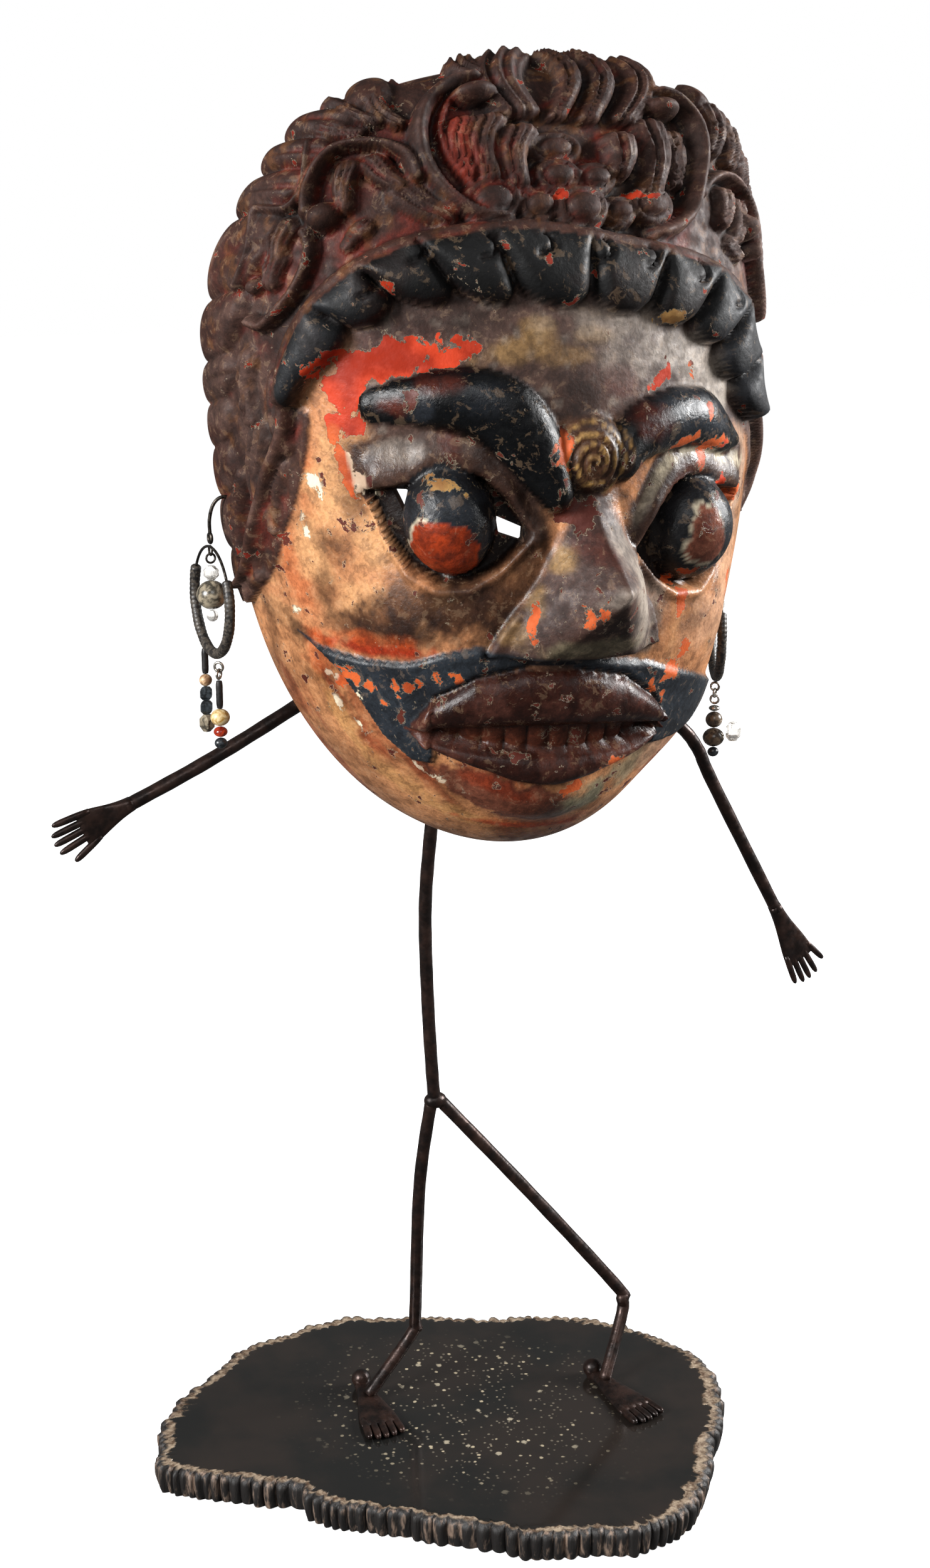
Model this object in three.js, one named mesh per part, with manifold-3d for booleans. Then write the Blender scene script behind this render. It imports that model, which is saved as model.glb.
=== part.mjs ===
// A carved and painted wooden mask held up by a stick figure of steel rod, which stands on a stone slab.
// Millimetres, +Z up. The origin is the middle of the slab's underside, and the mask looks towards -Y.
import * as THREE from "three";
import { mergeVertices } from "three/addons/utils/BufferGeometryUtils.js";
import Module from "manifold-3d";

const wasm = await Module();
wasm.setup();

// Driving sizes
const gap = 0.3; // clearance between pieces that touch
const maskHeight = 301; // chin to crown, without the relief
const maskWall = 11; // thickness of the wood behind the carving
const earHeight = 456; // the mask's ear level above the floor
const rodDiameter = 6;
const armThickness = 2.6; // the hammered hands
const footThickness = 3.4;
const heelDiameter = 9.4;
const socketDepth = 4; // the rod's end goes this far into the back of the forehead
const slabThickness = 14;
const slabLength = 268;
const hookWire = 1.5;
const hoopDiameter = 42; // middle of the tube
const hoopTube = 4.4;
const hoopWire = 1.2;
const cordDiameter = 2.8; // the black tubes on the drops
const crystalDiameter = 6;
const agateDiameter = 12;
const pearlDiameter = 4.6;
const creamDiameter = 5.2;
const cubeSide = 5.4;
const facetDiameter = 6.6;
const goldDiameter = 7.8;
const redDiameter = 5.6;
const jetDiameter = 5.2;
const smokeDiameter = 7.6;
const darkDiameter = 9.7;
const glassDiameter = 7.2;

const maskTriangles = 4200;
const meshCells = 150; // cells across the dense mesh that is thinned out
const barSides = 8;

// Small helpers
const { PI, abs, cos, hypot, max, min, pow, round, sin, sqrt, atan2, floor } = Math;
const clamp = (v, low, high) => min(high, max(low, v));
const mix = (a, b, k) => a + (b - a) * k;
const smooth = (low, high, v) => {
  const k = clamp((v - low) / (high - low), 0, 1);
  return k * k * (3 - 2 * k);
};
const dome = (q, power = 0.5) => pow(max(1 - q * q, 0), power);
const cubic = (a, b, c, d, k) =>
  0.5 * (2 * b + (c - a) * k + (2 * a - 5 * b + 4 * c - d) * k * k + (3 * b - a - 3 * c + d) * k ** 3);

// A smooth run of points through the given ones, with any further values they carry.
function spline(points, perSpan = 6) {
  const at = (i) => points[clamp(i, 0, points.length - 1)];
  const run = [];
  for (let i = 0; i < points.length - 1; i++) {
    for (let j = 0; j < perSpan; j++) {
      run.push(at(i).map((_, n) => cubic(at(i - 1)[n], at(i)[n], at(i + 1)[n], at(i + 2)[n], j / perSpan)));
    }
  }
  run.push([...points[points.length - 1]]);
  return run;
}

// How far a place lies from a run of points, in the run's own half widths where it carries them.
function reach(run, x, z) {
  let nearest = Infinity;
  for (let i = 0; i < run.length - 1; i++) {
    const [ax, az, aw = 1] = run[i];
    const [bx, bz, bw = 1] = run[i + 1];
    const dx = bx - ax;
    const dz = bz - az;
    const k = clamp(((x - ax) * dx + (z - az) * dz) / (dx * dx + dz * dz), 0, 1);
    nearest = min(nearest, hypot(x - ax - k * dx, z - az - k * dz) / mix(aw, bw, k));
  }
  return nearest;
}

// Height of a line of points over x, with straight spans.
function level(points, x) {
  if (x <= points[0][0]) return points[0][1];
  for (let i = 1; i < points.length; i++) {
    const [ax, ay] = points[i - 1];
    const [bx, by] = points[i];
    if (x <= bx) return mix(ay, by, (x - ax) / (bx - ax));
  }
  return points[points.length - 1][1];
}

// The carving. Places and heights are in units of the mask's own size: x across the face, z up it,
// both along the bent surface from between the eyes. One unit is about a millimetre on this mask.
const unitsAcross = 160;
const unitsUp = 200;

// Distance of two border lines from a point under the brow, every ten degrees from low on one
// side over the top to low on the other: the hairline, and the band above the curls.
const borderStep = 10;
const borderStart = -110;
const hairline = [160, 131, 118, 110, 107, 110, 101.5, 97, 87, 78, 73, 70, 69.5, 71, 73.5, 77.5, 79.5, 82, 92, 102,
  112, 128, 158];
const bandLine = [176, 146, 133, 124, 117, 121.5, 121.5, 118, 112.5, 106, 101, 96, 94, 96, 100.5, 105, 105, 104, 106,
  116, 127, 143, 174];

function border(line, angle) {
  const place = clamp((angle - borderStart) / borderStep, 0, line.length - 1.001);
  const i = floor(place);
  const at = (n) => line[clamp(n, 0, line.length - 1)];
  return cubic(at(i - 1), at(i), at(i + 1), at(i + 2), place - i);
}

// Borders between the curls of the fringe and between the petals of the rim, in degrees.
const curlBorders = [-66, -47, -37, -27, -15.5, 1.5, 18, 32, 44, 56, 70];
const petalBorders = [-107, -95, -85, -76, -68.5, -61.4, -51.2, -38.2, -25.3, -19.5, -14.7, -6.2, -1.3, 2, 5.5, 10.9,
  14.4, 20.1, 25.2, 31.2, 35.9, 42, 49, 57, 65, 73, 82, 92, 107];

// Place inside the cell that an angle falls in, from -1 at one border to 1 at the next.
function placeInCell(borders, angle) {
  let i = 0;
  while (i < borders.length - 2 && angle > borders[i + 1]) i++;
  return clamp(((angle - borders[i]) / (borders[i + 1] - borders[i])) * 2 - 1, -1, 1);
}

// Scroll stems of the crown: points, half width, height.
const stems = [
  { line: [[-24, 166], [-32, 162], [-39, 148], [-42.5, 130], [-42, 116], [-38, 104], [-31, 96], [-22, 92]],
    half: 3.4, high: 9.5 },
  { line: [[33, 158], [39, 155], [46, 142], [48.5, 126], [47, 111], [43, 98], [36, 90], [28, 86]],
    half: 3.4, high: 9.5 },
  { line: [[-84, 110], [-83, 120], [-80, 127], [-75, 134], [-68, 138], [-59, 136], [-52, 131], [-47, 124],
    [-46, 114]], half: 3.6, high: 9.5 },
  { line: [[-86, 102], [-85, 94], [-89, 85], [-95, 78], [-104, 72], [-110, 70], [-115, 73]], half: 3, high: 7.5 },
  { line: [[-107, 122], [-109, 107], [-113, 98], [-119, 90]], half: 3, high: 7 },
  { line: [[-106, 124], [-93, 116], [-86, 121], [-81, 137], [-78, 148]], half: 2.6, high: 7 },
  { line: [[85, 87], [86, 98], [83, 108], [76, 115], [68, 118.5], [60, 117.5], [52, 111], [48, 104]],
    half: 2.8, high: 8 },
  { line: [[90, 96], [89, 88], [93, 79], [99, 72], [108, 66], [117, 67]], half: 3, high: 7 },
  { line: [[110, 116], [112, 101], [116, 92], [122, 84]], half: 3.2, high: 6.5 },
].map((stem) => ({ ...stem, run: spline(stem.line) }));

// Round knobs that end the stems, and ringed rosettes: x, z, radius, height.
const knobs = [[-24, 154, 7.5, 11.5], [33, 147, 7, 11], [-79, 106, 7, 10.5], [80, 98, 6.5, 9.5], [-111, 87, 4, 6.5],
  [114, 81, 4, 6.5]];
const rosettes = [[-25, 100, 10, 9], [2, 95, 9.5, 10], [27, 97, 9, 9], [-11, 97, 7.5, 8], [-4, 108, 8, 9],
  [8, 107, 7.5, 8.5], [15, 94, 6.5, 8], [-3, 121, 9, 6]];

// Leaves: x and z of both ends, half width, height. The last rows are the locks of the side hair.
const leaves = [[-28, 137, -30, 112, 4.5, 6.5], [-21, 136, -24, 110, 5.2, 8], [-13, 129, -16, 106, 5.2, 8],
  [17, 124, 16, 110, 5.5, 9], [28, 133, 28, 104, 6.5, 7.5], [38, 132, 39, 108, 4, 4.5],
  [-12, 196, -12, 142, 9, 7], [1, 198, -1, 138, 4.4, 6], [11.5, 198, 8.5, 137, 5, 6.3], [28, 192, 20, 138, 6.8, 6.5],
  [-26, 192, -22, 172, 6, 6], [-67, 125, -71, 108, 5, 7], [-58, 124, -52, 112, 5.5, 6.5], [-50, 108, -40, 97, 7, 5.5],
  [-72, 154, -60, 143, 5, 6], [-64, 162, -53, 147, 4.6, 6], [-53, 169, -47, 143, 4.4, 6], [60, 160, 57, 130, 6, 6],
  [74, 152, 69, 127, 6, 6], [87, 141, 81, 121, 5.5, 6], [-96, 106, -99, 98, 6.5, 5.5], [-100, 94, -103, 86, 5.5, 5],
  [65, 108, 62, 96, 5, 6], [76, 106, 72, 92, 5, 5.5], [99, 99, 102, 91, 6.5, 5.5], [103, 87, 106, 79, 5.5, 5],
  [109, 113, 99, 128, 8, 5.5], [-66, 97, -72, 92, 4, 4], [68, 88, 74, 84, 4, 4],
  [-108, 46, -112, 24, 6, 5], [-122, 58, -126, 34, 5, 5], [-124, 26, -130, 2, 6, 5],
  [-137, 10, -146, -28, 4.5, 5.5], [-128, -4, -139, -34, 5, 4.5], [-116, 14, -124, -12, 3.5, 4],
  [-138, -36, -150, -56, 4, 5], [108, 40, 112, 18, 6, 5], [122, 52, 126, 28, 5, 5], [124, 20, 130, -4, 6, 5],
  [137, 4, 146, -34, 4.5, 5.5], [128, -10, 139, -38, 5, 4.5], [116, 8, 124, -16, 3.5, 4],
  [138, -40, 150, -58, 4, 5]];

// How far out the petals of the rim start, over the angle.
const rimStart = [[-110, 0.88], [-62, 0.84], [-50, 0.79], [-36, 0.78], [-26, 0.8], [-19, 1.1], [22, 1.1], [28, 0.82],
  [48, 0.8], [60, 0.84], [110, 0.88]];

// Brows: x, z, half width. Eyes: middle of the ball and the two edges of the opening.
const brows = [
  [[-74, 35, 6], [-62, 36, 7.6], [-48, 35.5, 9.8], [-37, 33.5, 11.5], [-29, 28.5, 12.2], [-23, 21, 11.2],
    [-18, 13, 9], [-15, 7, 6.5]],
  [[72, 18, 3], [63, 21, 7], [51, 25.5, 9.3], [38, 26.5, 9.6], [26, 25, 9.4], [16, 21.5, 8.8], [10, 15, 7]],
].map((line) => spline(line));
const eyes = [
  { x: -53.5, z: -2.5,
    top: [[-84, 8], [-74, 9.5], [-65, 11], [-59, 14], [-49, 15.5], [-40, 12.5], [-32, 6], [-23, -6]],
    low: [[-84, 8], [-77, -9], [-69, -20], [-58, -25], [-46, -24], [-35, -18], [-23, -7]] },
  { x: 51, z: -10.5,
    top: [[18, -13], [27, -1], [35, 6], [44, 9], [53, 8], [60, 5], [69, 3], [79, 1]],
    low: [[18, -14], [30, -25], [41, -31], [53, -32], [63, -27], [72, -16], [79, 1]] },
];
const ballHalf = [17.2, 18.8];
const eyeDepth = 7; // of the gap round the ball
const ballHigh = 12;

// The lips, as edges over x.
const lipTop = [[-70, -84], [-60, -68], [-44, -57], [-25, -52], [-7, -52.5], [17, -58], [34, -70], [44, -82]];
const lipOver = [[-70, -84], [-51, -79], [-28, -75.5], [-4, -75.5], [22, -78.5], [44, -84]];
const lipUnder = [[-70, -85], [-43, -87.5], [-19, -88.5], [8, -88.5], [29, -87], [44, -84]];
const lipLow = [[-70, -85], [-57, -92], [-42, -97], [-27, -100.5], [-10, -101.5], [7, -99.5], [27, -93.5],
  [44, -84]];
const toothWidth = 9.5;

// Upper and lower edge of the moustache over x.
const moustacheTop = [[-120, -57], [-110, -59.5], [-86, -57.5], [-70, -54], [-56, -47.5], [-44, -44.5], [-35, -46],
  [-6, -47], [29, -54], [58, -66], [80, -77], [92, -84]];
const moustacheLeft = [[-120, -58], [-107, -63], [-98, -69], [-90, -79], [-80, -94], [-68, -103], [-57, -101]];
const moustacheRight = [[36, -94], [45, -97], [56, -98], [68, -96], [80, -88], [92, -86]];
const moustacheEnds = [-60, 40];

function moustache(x, z) {
  let low = level(lipTop, x);
  if (x < moustacheEnds[0]) low = level(moustacheLeft, x);
  if (x > moustacheEnds[1]) low = level(moustacheRight, x);
  return min(level(moustacheTop, x) - z, z - low);
}

function mouth(x, z) {
  const [top, over, under, low] = [lipTop, lipOver, lipUnder, lipLow].map((line) => level(line, x));
  const fade = smooth(-71, -60, x) * smooth(46, 36, x);
  if (z > top || z < low) return 0;
  if (z >= over) return fade * 6.5 * dome((2 * (z - over)) / max(top - over, 0.5) - 1, 0.6);
  if (z <= under) return fade * 5 * dome((2 * (z - low)) / max(under - low, 0.5) - 1, 0.6);
  return fade * (1.2 * sqrt(abs(sin(((x + 13) / toothWidth) * PI))) - 3.5);
}

// A wedge of a nose with planar sides, low wings, and an underside that slopes back from the tip.
function nose(x, z) {
  const zc = clamp(z, -47, 8);
  const ridge = level([[-47, 19], [-35, 26], [-22, 30.5], [-15, 23], [-9, 14], [-4, 8.5], [2, 4], [8, 2]], zc);
  const under = level([[-47, 10], [-22, 30.5]], zc);
  const half = level([[-47, 37], [-40, 34], [-30, 27.5], [-20, 21], [-8, 14.5], [0, 12], [8, 11]], zc);
  const q = abs(x - level([[-47, -4.5], [-22, 0], [0, -1]], zc)) / half;
  const wings = 4.2 * smooth(1, 0.93, q) * smooth(-24, -34, z);
  return max(min(ridge * max(1 - q, 0), under), wings) * smooth(-49.5, -47, z) * smooth(17, 3, z);
}

function eye({ x: ex, z: ez, top, low }, x, z, ground) {
  const upper = level(top, x);
  const lower = level(low, x);
  const inward = min(x - top[0][0], top[top.length - 1][0] - x);
  const inside = min(upper - z, z - lower, inward * 0.9);
  const middle = (upper + lower) / 2;
  const lid = z >= middle - 2 ? 4.5 * dome((inside + 7) / 9, 0.8) * smooth(-3, 6, inward) : 0;
  const rim = z < middle + 2 ? 2.5 * dome((inside + 2.5) / 4.5, 1) * smooth(-5, 0, inside) : 0;
  const h = mix(ground + max(lid, rim), -eyeDepth, smooth(0, 3, inside));
  const q = hypot((x - ex) / ballHalf[0], (z - ez) / ballHalf[1]);
  return q < 1 ? max(h, (ballHigh + eyeDepth) * dome(q) - eyeDepth) : h;
}

function face(x, z) {
  let h = 3.5 * dome(hypot((x + 62) / 34, (z + 42) / 26), 1.5);
  h += 3.5 * dome(hypot((x - 55) / 34, (z + 48) / 26), 1.5);
  h += 5 * dome(hypot((x + 14) / 34, (z + 112) / 22), 1.5);
  h += 2.5 * dome(hypot(x / 60, (z - 48) / 30), 1.5);
  h += 2.2 * smooth(0, 3, moustache(x, z)) + mouth(x, z);
  const n = nose(x, z);
  if (n > 0) h = 0.3 * max(h, 0) + n;
  for (const e of eyes) h -= 4.5 * dome(hypot((x - e.x) / 38, (z - e.z - 6) / 30), 1.2);
  for (const e of eyes) h = eye(e, x, z, h);
  for (const line of brows) {
    const q = reach(line, x, z);
    const fade = mix(0.3, 1, smooth(0, 28, abs(x - line[0][0])));
    if (q < 1) h = max(h, 8 * fade * dome(q, 0.55));
  }
  const q = hypot((x + 1) / 13, (z - 17) / 12);
  const ring = hypot(x + 3, z - 15);
  if (q < 1) h = max(h, 8 * dome(q) - dome((ring - 3) / 1.3, 1) - 0.8 * dome((ring - 6) / 1.3, 1));
  return h;
}

function leafHeight([ax, az, bx, bz, half, high], x, z) {
  const dx = bx - ax;
  const dz = bz - az;
  const k = clamp(((x - ax) * dx + (z - az) * dz) / (dx * dx + dz * dz), 0, 1);
  const q = hypot(x - ax - k * dx, z - az - k * dz) / half;
  if (q >= 1) return 0;
  const side = ((x - ax) * dz - (z - az) * dx) / hypot(dx, dz) / half;
  return high * dome(q) - 1.1 * dome(side / 0.28, 1);
}

function crown(x, z, angle) {
  const start = level(rimStart, angle);
  const rim = smooth(start, start + 0.07, hypot(x / unitsAcross, z / unitsUp));
  const petal = mix(5.2, 3, smooth(50, 75, abs(angle)));
  let h = rim * (petal * dome(0.97 * placeInCell(petalBorders, angle), 0.5) + 0.8);
  for (const stem of stems) h = max(h, stem.high * dome(reach(stem.run, x, z) / stem.half, 0.55));
  for (const leaf of leaves) h = max(h, leafHeight(leaf, x, z));
  for (const [cx, cz, radius, high] of rosettes) {
    const q = hypot(x - cx, z - cz) / radius;
    if (q < 1) h = max(h, high * dome(q, 0.45) - 2 * dome((q - 0.55) / 0.2, 1));
  }
  for (const [cx, cz, radius, high] of knobs) h = max(h, high * dome(hypot(x - cx, z - cz) / radius));
  return h;
}

// Height of the carving over the mask's base form, in units.
function relief(x, z) {
  const angle = (atan2(x, z + 10) * 180) / PI;
  const far = hypot(x, z + 10);
  const hair = border(hairline, angle);
  const band = border(bandLine, angle);
  const width = max(band - hair, 1);
  let out = far - hair;
  if (abs(angle) > 108) out = -1;
  const inFringe = angle > curlBorders[0] && angle < curlBorders[curlBorders.length - 1];
  const curl = placeInCell(curlBorders, angle);
  if (inFringe) out -= 6 * abs(curl) ** 2.5;
  let h = 1;
  if (far > band) {
    h = crown(x, z, angle) * smooth(1, 3.5, far - band);
  } else if (inFringe) {
    const rise = clamp(out / width, 0, 1);
    const lobe = mix(dome(0.97 * curl, 0.3), 1, 0.7 * smooth(0.3, 0.8, rise));
    h = 1.5 + 9 * dome(0.98 * (2 * rise - 1), 0.4) * lobe;
  } else {
    h += 0.6 * crown(x, z, angle);
  }
  h = max(h, 1 + 5.5 * dome((far - band) / 3.2, 0.55));
  return out <= 0 ? face(x, z) : mix(face(x, z), h, smooth(0, 1.5, out));
}

// The right cheek and jaw are a little fuller than the left.
const fullness = 5.5;

function carving(x, z) {
  const across = smooth(35, 80, x) * smooth(165, 120, x);
  return relief(x, z) + fullness * across * smooth(-135, -95, z) * smooth(45, 5, z);
}

// The base form that the carving sits on, from shares of the mask's height
const maskUnit = maskHeight / 301; // the tables were drawn for a mask of this height
const faceHalfWidth = 101 * maskUnit;
const earFlare = 4 * maskUnit;
const crownFlare = 56 * maskUnit;
const crownSquare = 24 * maskUnit; // more flare near the top, which squares its corners
const faceDepth = 107 * maskUnit;
const crownDrop = 156 * maskUnit;
const chinDrop = maskHeight - crownDrop;
const maskAt = new THREE.Vector3(3.5, -16, earHeight);

function baseForm(s, t) {
  const r = hypot(s, t);
  const k = r > 1e-9 ? sin((r * PI) / 2) / r : PI / 2;
  const across = s * k;
  const up = t * k;
  const ahead = cos((r * PI) / 2);
  const square = up * up;
  const flare = crownFlare * pow(max(up, 0), 1.4) + crownSquare * smooth(0.7, 1, up);
  const half = faceHalfWidth + earFlare * smooth(-0.35, 0.1, up) + flare;
  const depth = faceDepth * (up > 0 ? 1 - 0.56 * square : 1 + 0.1 * square);
  const lean = (up > 0 ? 58 : 28) * maskUnit * square - 3 * maskUnit;
  const rise = (up > 0 ? crownDrop : chinDrop) * up;
  return new THREE.Vector3(across * half, -lean - depth * ahead, rise).add(maskAt);
}

// A place on the mask: s and t from -1 to 1 across and up it, and a height along its normal.
function maskPoint(s, t, height) {
  const e = 1e-4;
  const alongS = baseForm(s + e, t).sub(baseForm(s - e, t));
  const alongT = baseForm(s, t + e).sub(baseForm(s, t - e));
  return baseForm(s, t).addScaledVector(alongS.cross(alongT).normalize(), height);
}

// Solids and meshes
function solid(geometry) {
  const bare = geometry.index ? geometry.clone() : geometry;
  for (const name of Object.keys(bare.attributes)) {
    if (name !== "position") bare.deleteAttribute(name);
  }
  const merged = mergeVertices(bare, 1e-4);
  const vertProperties = new Float32Array(merged.attributes.position.array);
  const triVerts = new Uint32Array(merged.index.array);
  const made = new wasm.Manifold(new wasm.Mesh({ numProp: 3, vertProperties, triVerts }));
  if (made.volume() > 0) return made;
  for (let i = 0; i < triVerts.length; i += 3) {
    [triVerts[i + 1], triVerts[i + 2]] = [triVerts[i + 2], triVerts[i + 1]];
  }
  return new wasm.Manifold(new wasm.Mesh({ numProp: 3, vertProperties, triVerts }));
}

function bodyFrom(points, faces) {
  const geometry = new THREE.BufferGeometry();
  geometry.setAttribute("position", new THREE.Float32BufferAttribute(points, 3));
  geometry.setIndex(faces);
  return solid(geometry);
}

const object = new THREE.Group();

function piece(name, made, colour, roughness, metalness = 0) {
  const { numProp, vertProperties, triVerts } = made.getMesh();
  const geometry = new THREE.BufferGeometry();
  const points = new Float32Array((vertProperties.length / numProp) * 3);
  for (let i = 0; i < points.length / 3; i++) {
    points.set(vertProperties.subarray(i * numProp, i * numProp + 3), i * 3);
  }
  geometry.setAttribute("position", new THREE.BufferAttribute(points, 3));
  geometry.setIndex(new THREE.BufferAttribute(triVerts, 1));
  geometry.computeVertexNormals();
  const mesh = new THREE.Mesh(geometry, new THREE.MeshStandardMaterial({ color: colour, roughness, metalness }));
  mesh.name = name;
  object.add(mesh);
}

const vec = (x, y, z) => new THREE.Vector3(x, y, z);

// A round bar along a smooth curve through points.
function bar(points, diameter, steps, sides = barSides) {
  const curve = new THREE.CatmullRomCurve3(points, false, "centripetal");
  const section = new THREE.Shape();
  section.absarc(0, 0, diameter / 2, 0, 2 * PI, false);
  const settings = { steps, curveSegments: sides / 2, extrudePath: curve, bevelEnabled: false };
  return solid(new THREE.ExtrudeGeometry(section, settings));
}

function ball(at, diameter, stretch = [1, 1, 1], wide = 10, high = 6) {
  const geometry = new THREE.SphereGeometry(diameter / 2, wide, high);
  geometry.rotateX(PI / 2);
  geometry.scale(...stretch);
  geometry.translate(at.x, at.y, at.z);
  return solid(geometry);
}

// Thins a closed mesh out to the wanted number of triangles, flattest places first: the two ends of an
// edge become one point, unless that would fold the surface or pinch it.
function thinOut(points, faces, wanted) {
  const count = points.length / 3;
  const around = Array.from({ length: count }, () => new Set());
  const version = new Uint32Array(count);
  const error = new Float64Array(count * 10);
  const corner = (i) => [points[3 * i], points[3 * i + 1], points[3 * i + 2]];
  const normalOf = (a, b, c) => {
    const [ux, uy, uz] = [b[0] - a[0], b[1] - a[1], b[2] - a[2]];
    const [vx, vy, vz] = [c[0] - a[0], c[1] - a[1], c[2] - a[2]];
    return [uy * vz - uz * vy, uz * vx - ux * vz, ux * vy - uy * vx];
  };
  const alive = new Uint8Array(faces.length / 3).fill(1);
  let left = alive.length;
  for (let f = 0; f < alive.length; f++) {
    const ends = [faces[3 * f], faces[3 * f + 1], faces[3 * f + 2]];
    const [a, b, c] = ends.map(corner);
    const n = normalOf(a, b, c);
    const area = hypot(...n) || 1e-12;
    const [nx, ny, nz] = n.map((v) => v / area);
    const d = -(nx * a[0] + ny * a[1] + nz * a[2]);
    const terms = [nx * nx, nx * ny, nx * nz, nx * d, ny * ny, ny * nz, ny * d, nz * nz, nz * d, d * d];
    for (const i of ends) {
      around[i].add(f);
      terms.forEach((term, n2) => (error[10 * i + n2] += term * area));
    }
  }
  const cost = (i, j, [x, y, z]) => {
    const q = (n) => error[10 * i + n] + error[10 * j + n];
    return q(0) * x * x + q(4) * y * y + q(7) * z * z + q(9) +
      2 * (q(1) * x * y + q(2) * x * z + q(3) * x + q(5) * y * z + q(6) * y + q(8) * z);
  };
  const best = (i, j) => {
    const a = corner(i);
    const b = corner(j);
    const tries = [a, b, a.map((v, n) => (v + b[n]) / 2)];
    const length = hypot(a[0] - b[0], a[1] - b[1], a[2] - b[2]);
    const costs = tries.map((at) => cost(i, j, at) + 1e-4 * length ** 3);
    const n = costs.indexOf(min(...costs));
    return { cost: costs[n], at: tries[n] };
  };
  const heap = [];
  const push = (entry) => {
    let i = heap.push(entry) - 1;
    while (i > 0 && heap[(i - 1) >> 1].cost > heap[i].cost) {
      [heap[i], heap[(i - 1) >> 1]] = [heap[(i - 1) >> 1], heap[i]];
      i = (i - 1) >> 1;
    }
  };
  const pop = () => {
    const first = heap[0];
    const last = heap.pop();
    if (heap.length) heap[0] = last;
    for (let i = 0; ; ) {
      let least = i;
      for (const child of [2 * i + 1, 2 * i + 2]) {
        if (child < heap.length && heap[child].cost < heap[least].cost) least = child;
      }
      if (least === i) return first;
      [heap[i], heap[least]] = [heap[least], heap[i]];
      i = least;
    }
  };
  const neighbours = (i) => {
    const found = new Set();
    for (const f of around[i]) {
      for (let n = 0; n < 3; n++) found.add(faces[3 * f + n]);
    }
    found.delete(i);
    return found;
  };
  const offer = (i, j) => push({ i, j, vi: version[i], vj: version[j], ...best(i, j) });
  for (let i = 0; i < count; i++) {
    for (const j of neighbours(i)) {
      if (i < j) offer(i, j);
    }
  }
  const folds = (i, j, at) => {
    for (const f of around[i]) {
      const ends = [faces[3 * f], faces[3 * f + 1], faces[3 * f + 2]];
      if (ends.includes(j)) continue;
      const before = normalOf(...ends.map(corner));
      const after = normalOf(...ends.map((n) => (n === i ? at : corner(n))));
      const dot = before[0] * after[0] + before[1] * after[1] + before[2] * after[2];
      if (dot <= 0.25 * hypot(...before) * hypot(...after)) return true;
    }
    return false;
  };
  while (left > wanted && heap.length) {
    const { i, j, vi, vj, at } = pop();
    if (version[i] !== vi || version[j] !== vj) continue;
    const near = neighbours(j);
    const shared = [...neighbours(i)].filter((n) => near.has(n));
    if (shared.length !== 2 || folds(i, j, at) || folds(j, i, at)) continue;
    for (const f of [...around[j]]) {
      const ends = [faces[3 * f], faces[3 * f + 1], faces[3 * f + 2]];
      if (ends.includes(i)) {
        alive[f] = 0;
        left--;
        for (const n of ends) around[n].delete(f);
      } else {
        faces[3 * f + ends.indexOf(j)] = i;
        around[i].add(f);
      }
    }
    around[j].clear();
    at.forEach((v, n) => (points[3 * i + n] = v));
    for (let n = 0; n < 10; n++) error[10 * i + n] += error[10 * j + n];
    version[i]++;
    version[j]++;
    for (const n of neighbours(i)) offer(i, n);
  }
  return faces.filter((_, n) => alive[floor(n / 3)]);
}

// The mask: a square of cells bent into a disc, once carved for the front and once smooth for the back,
// joined round the rim.
function maskShell() {
  const n = meshCells;
  const points = [];
  const faces = [];
  const side = n + 1;
  const places = [];
  for (let row = 0; row <= n; row++) {
    for (let column = 0; column <= n; column++) {
      const u = (2 * column) / n - 1;
      const v = (2 * row) / n - 1;
      places.push([u * sqrt(1 - (v * v) / 2), v * sqrt(1 - (u * u) / 2)]);
    }
  }
  const heights = places.map(([s, t]) => carving(s * unitsAcross, t * unitsUp) * maskUnit);
  const softened = heights.map((height, i) => {
    const near = [i - 1, i + 1, i - side, i + side].filter((j) => j >= 0 && j < heights.length);
    const onRim = i % side === 0 || i % side === n;
    return onRim ? height : 0.5 * height + (0.5 / near.length) * near.reduce((sum, j) => sum + heights[j], 0);
  });
  places.forEach(([s, t], i) => points.push(...maskPoint(s, t, softened[i]).toArray()));
  for (const [s, t] of places) points.push(...maskPoint(s, t, -maskWall).toArray());
  const at = (column, row, back) => (back ? side * side : 0) + row * side + column;
  for (let row = 0; row < n; row++) {
    for (let column = 0; column < n; column++) {
      const [a, b] = [at(column, row, false), at(column + 1, row, false)];
      const [d, c] = [at(column, row + 1, false), at(column + 1, row + 1, false)];
      const other = column < n / 2 === row < n / 2;
      faces.push(...(other ? [a, b, d, b, c, d] : [a, b, c, a, c, d]));
      const shift = side * side;
      const [e, f, g, h] = [a, b, c, d].map((i) => i + shift);
      faces.push(...(other ? [e, h, f, f, h, g] : [e, g, f, e, h, g]));
    }
  }
  const loop = [];
  for (let i = 0; i < n; i++) loop.push([i, 0]);
  for (let i = 0; i < n; i++) loop.push([n, i]);
  for (let i = n; i > 0; i--) loop.push([i, n]);
  for (let i = n; i > 0; i--) loop.push([0, i]);
  loop.forEach((from, i) => {
    const to = loop[(i + 1) % loop.length];
    const [a, b] = [at(...from, false), at(...to, false)];
    const [c, d] = [at(...from, true), at(...to, true)];
    faces.push(a, c, b, b, c, d);
  });
  return bodyFrom(points, thinOut(points, faces, maskTriangles));
}

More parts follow.
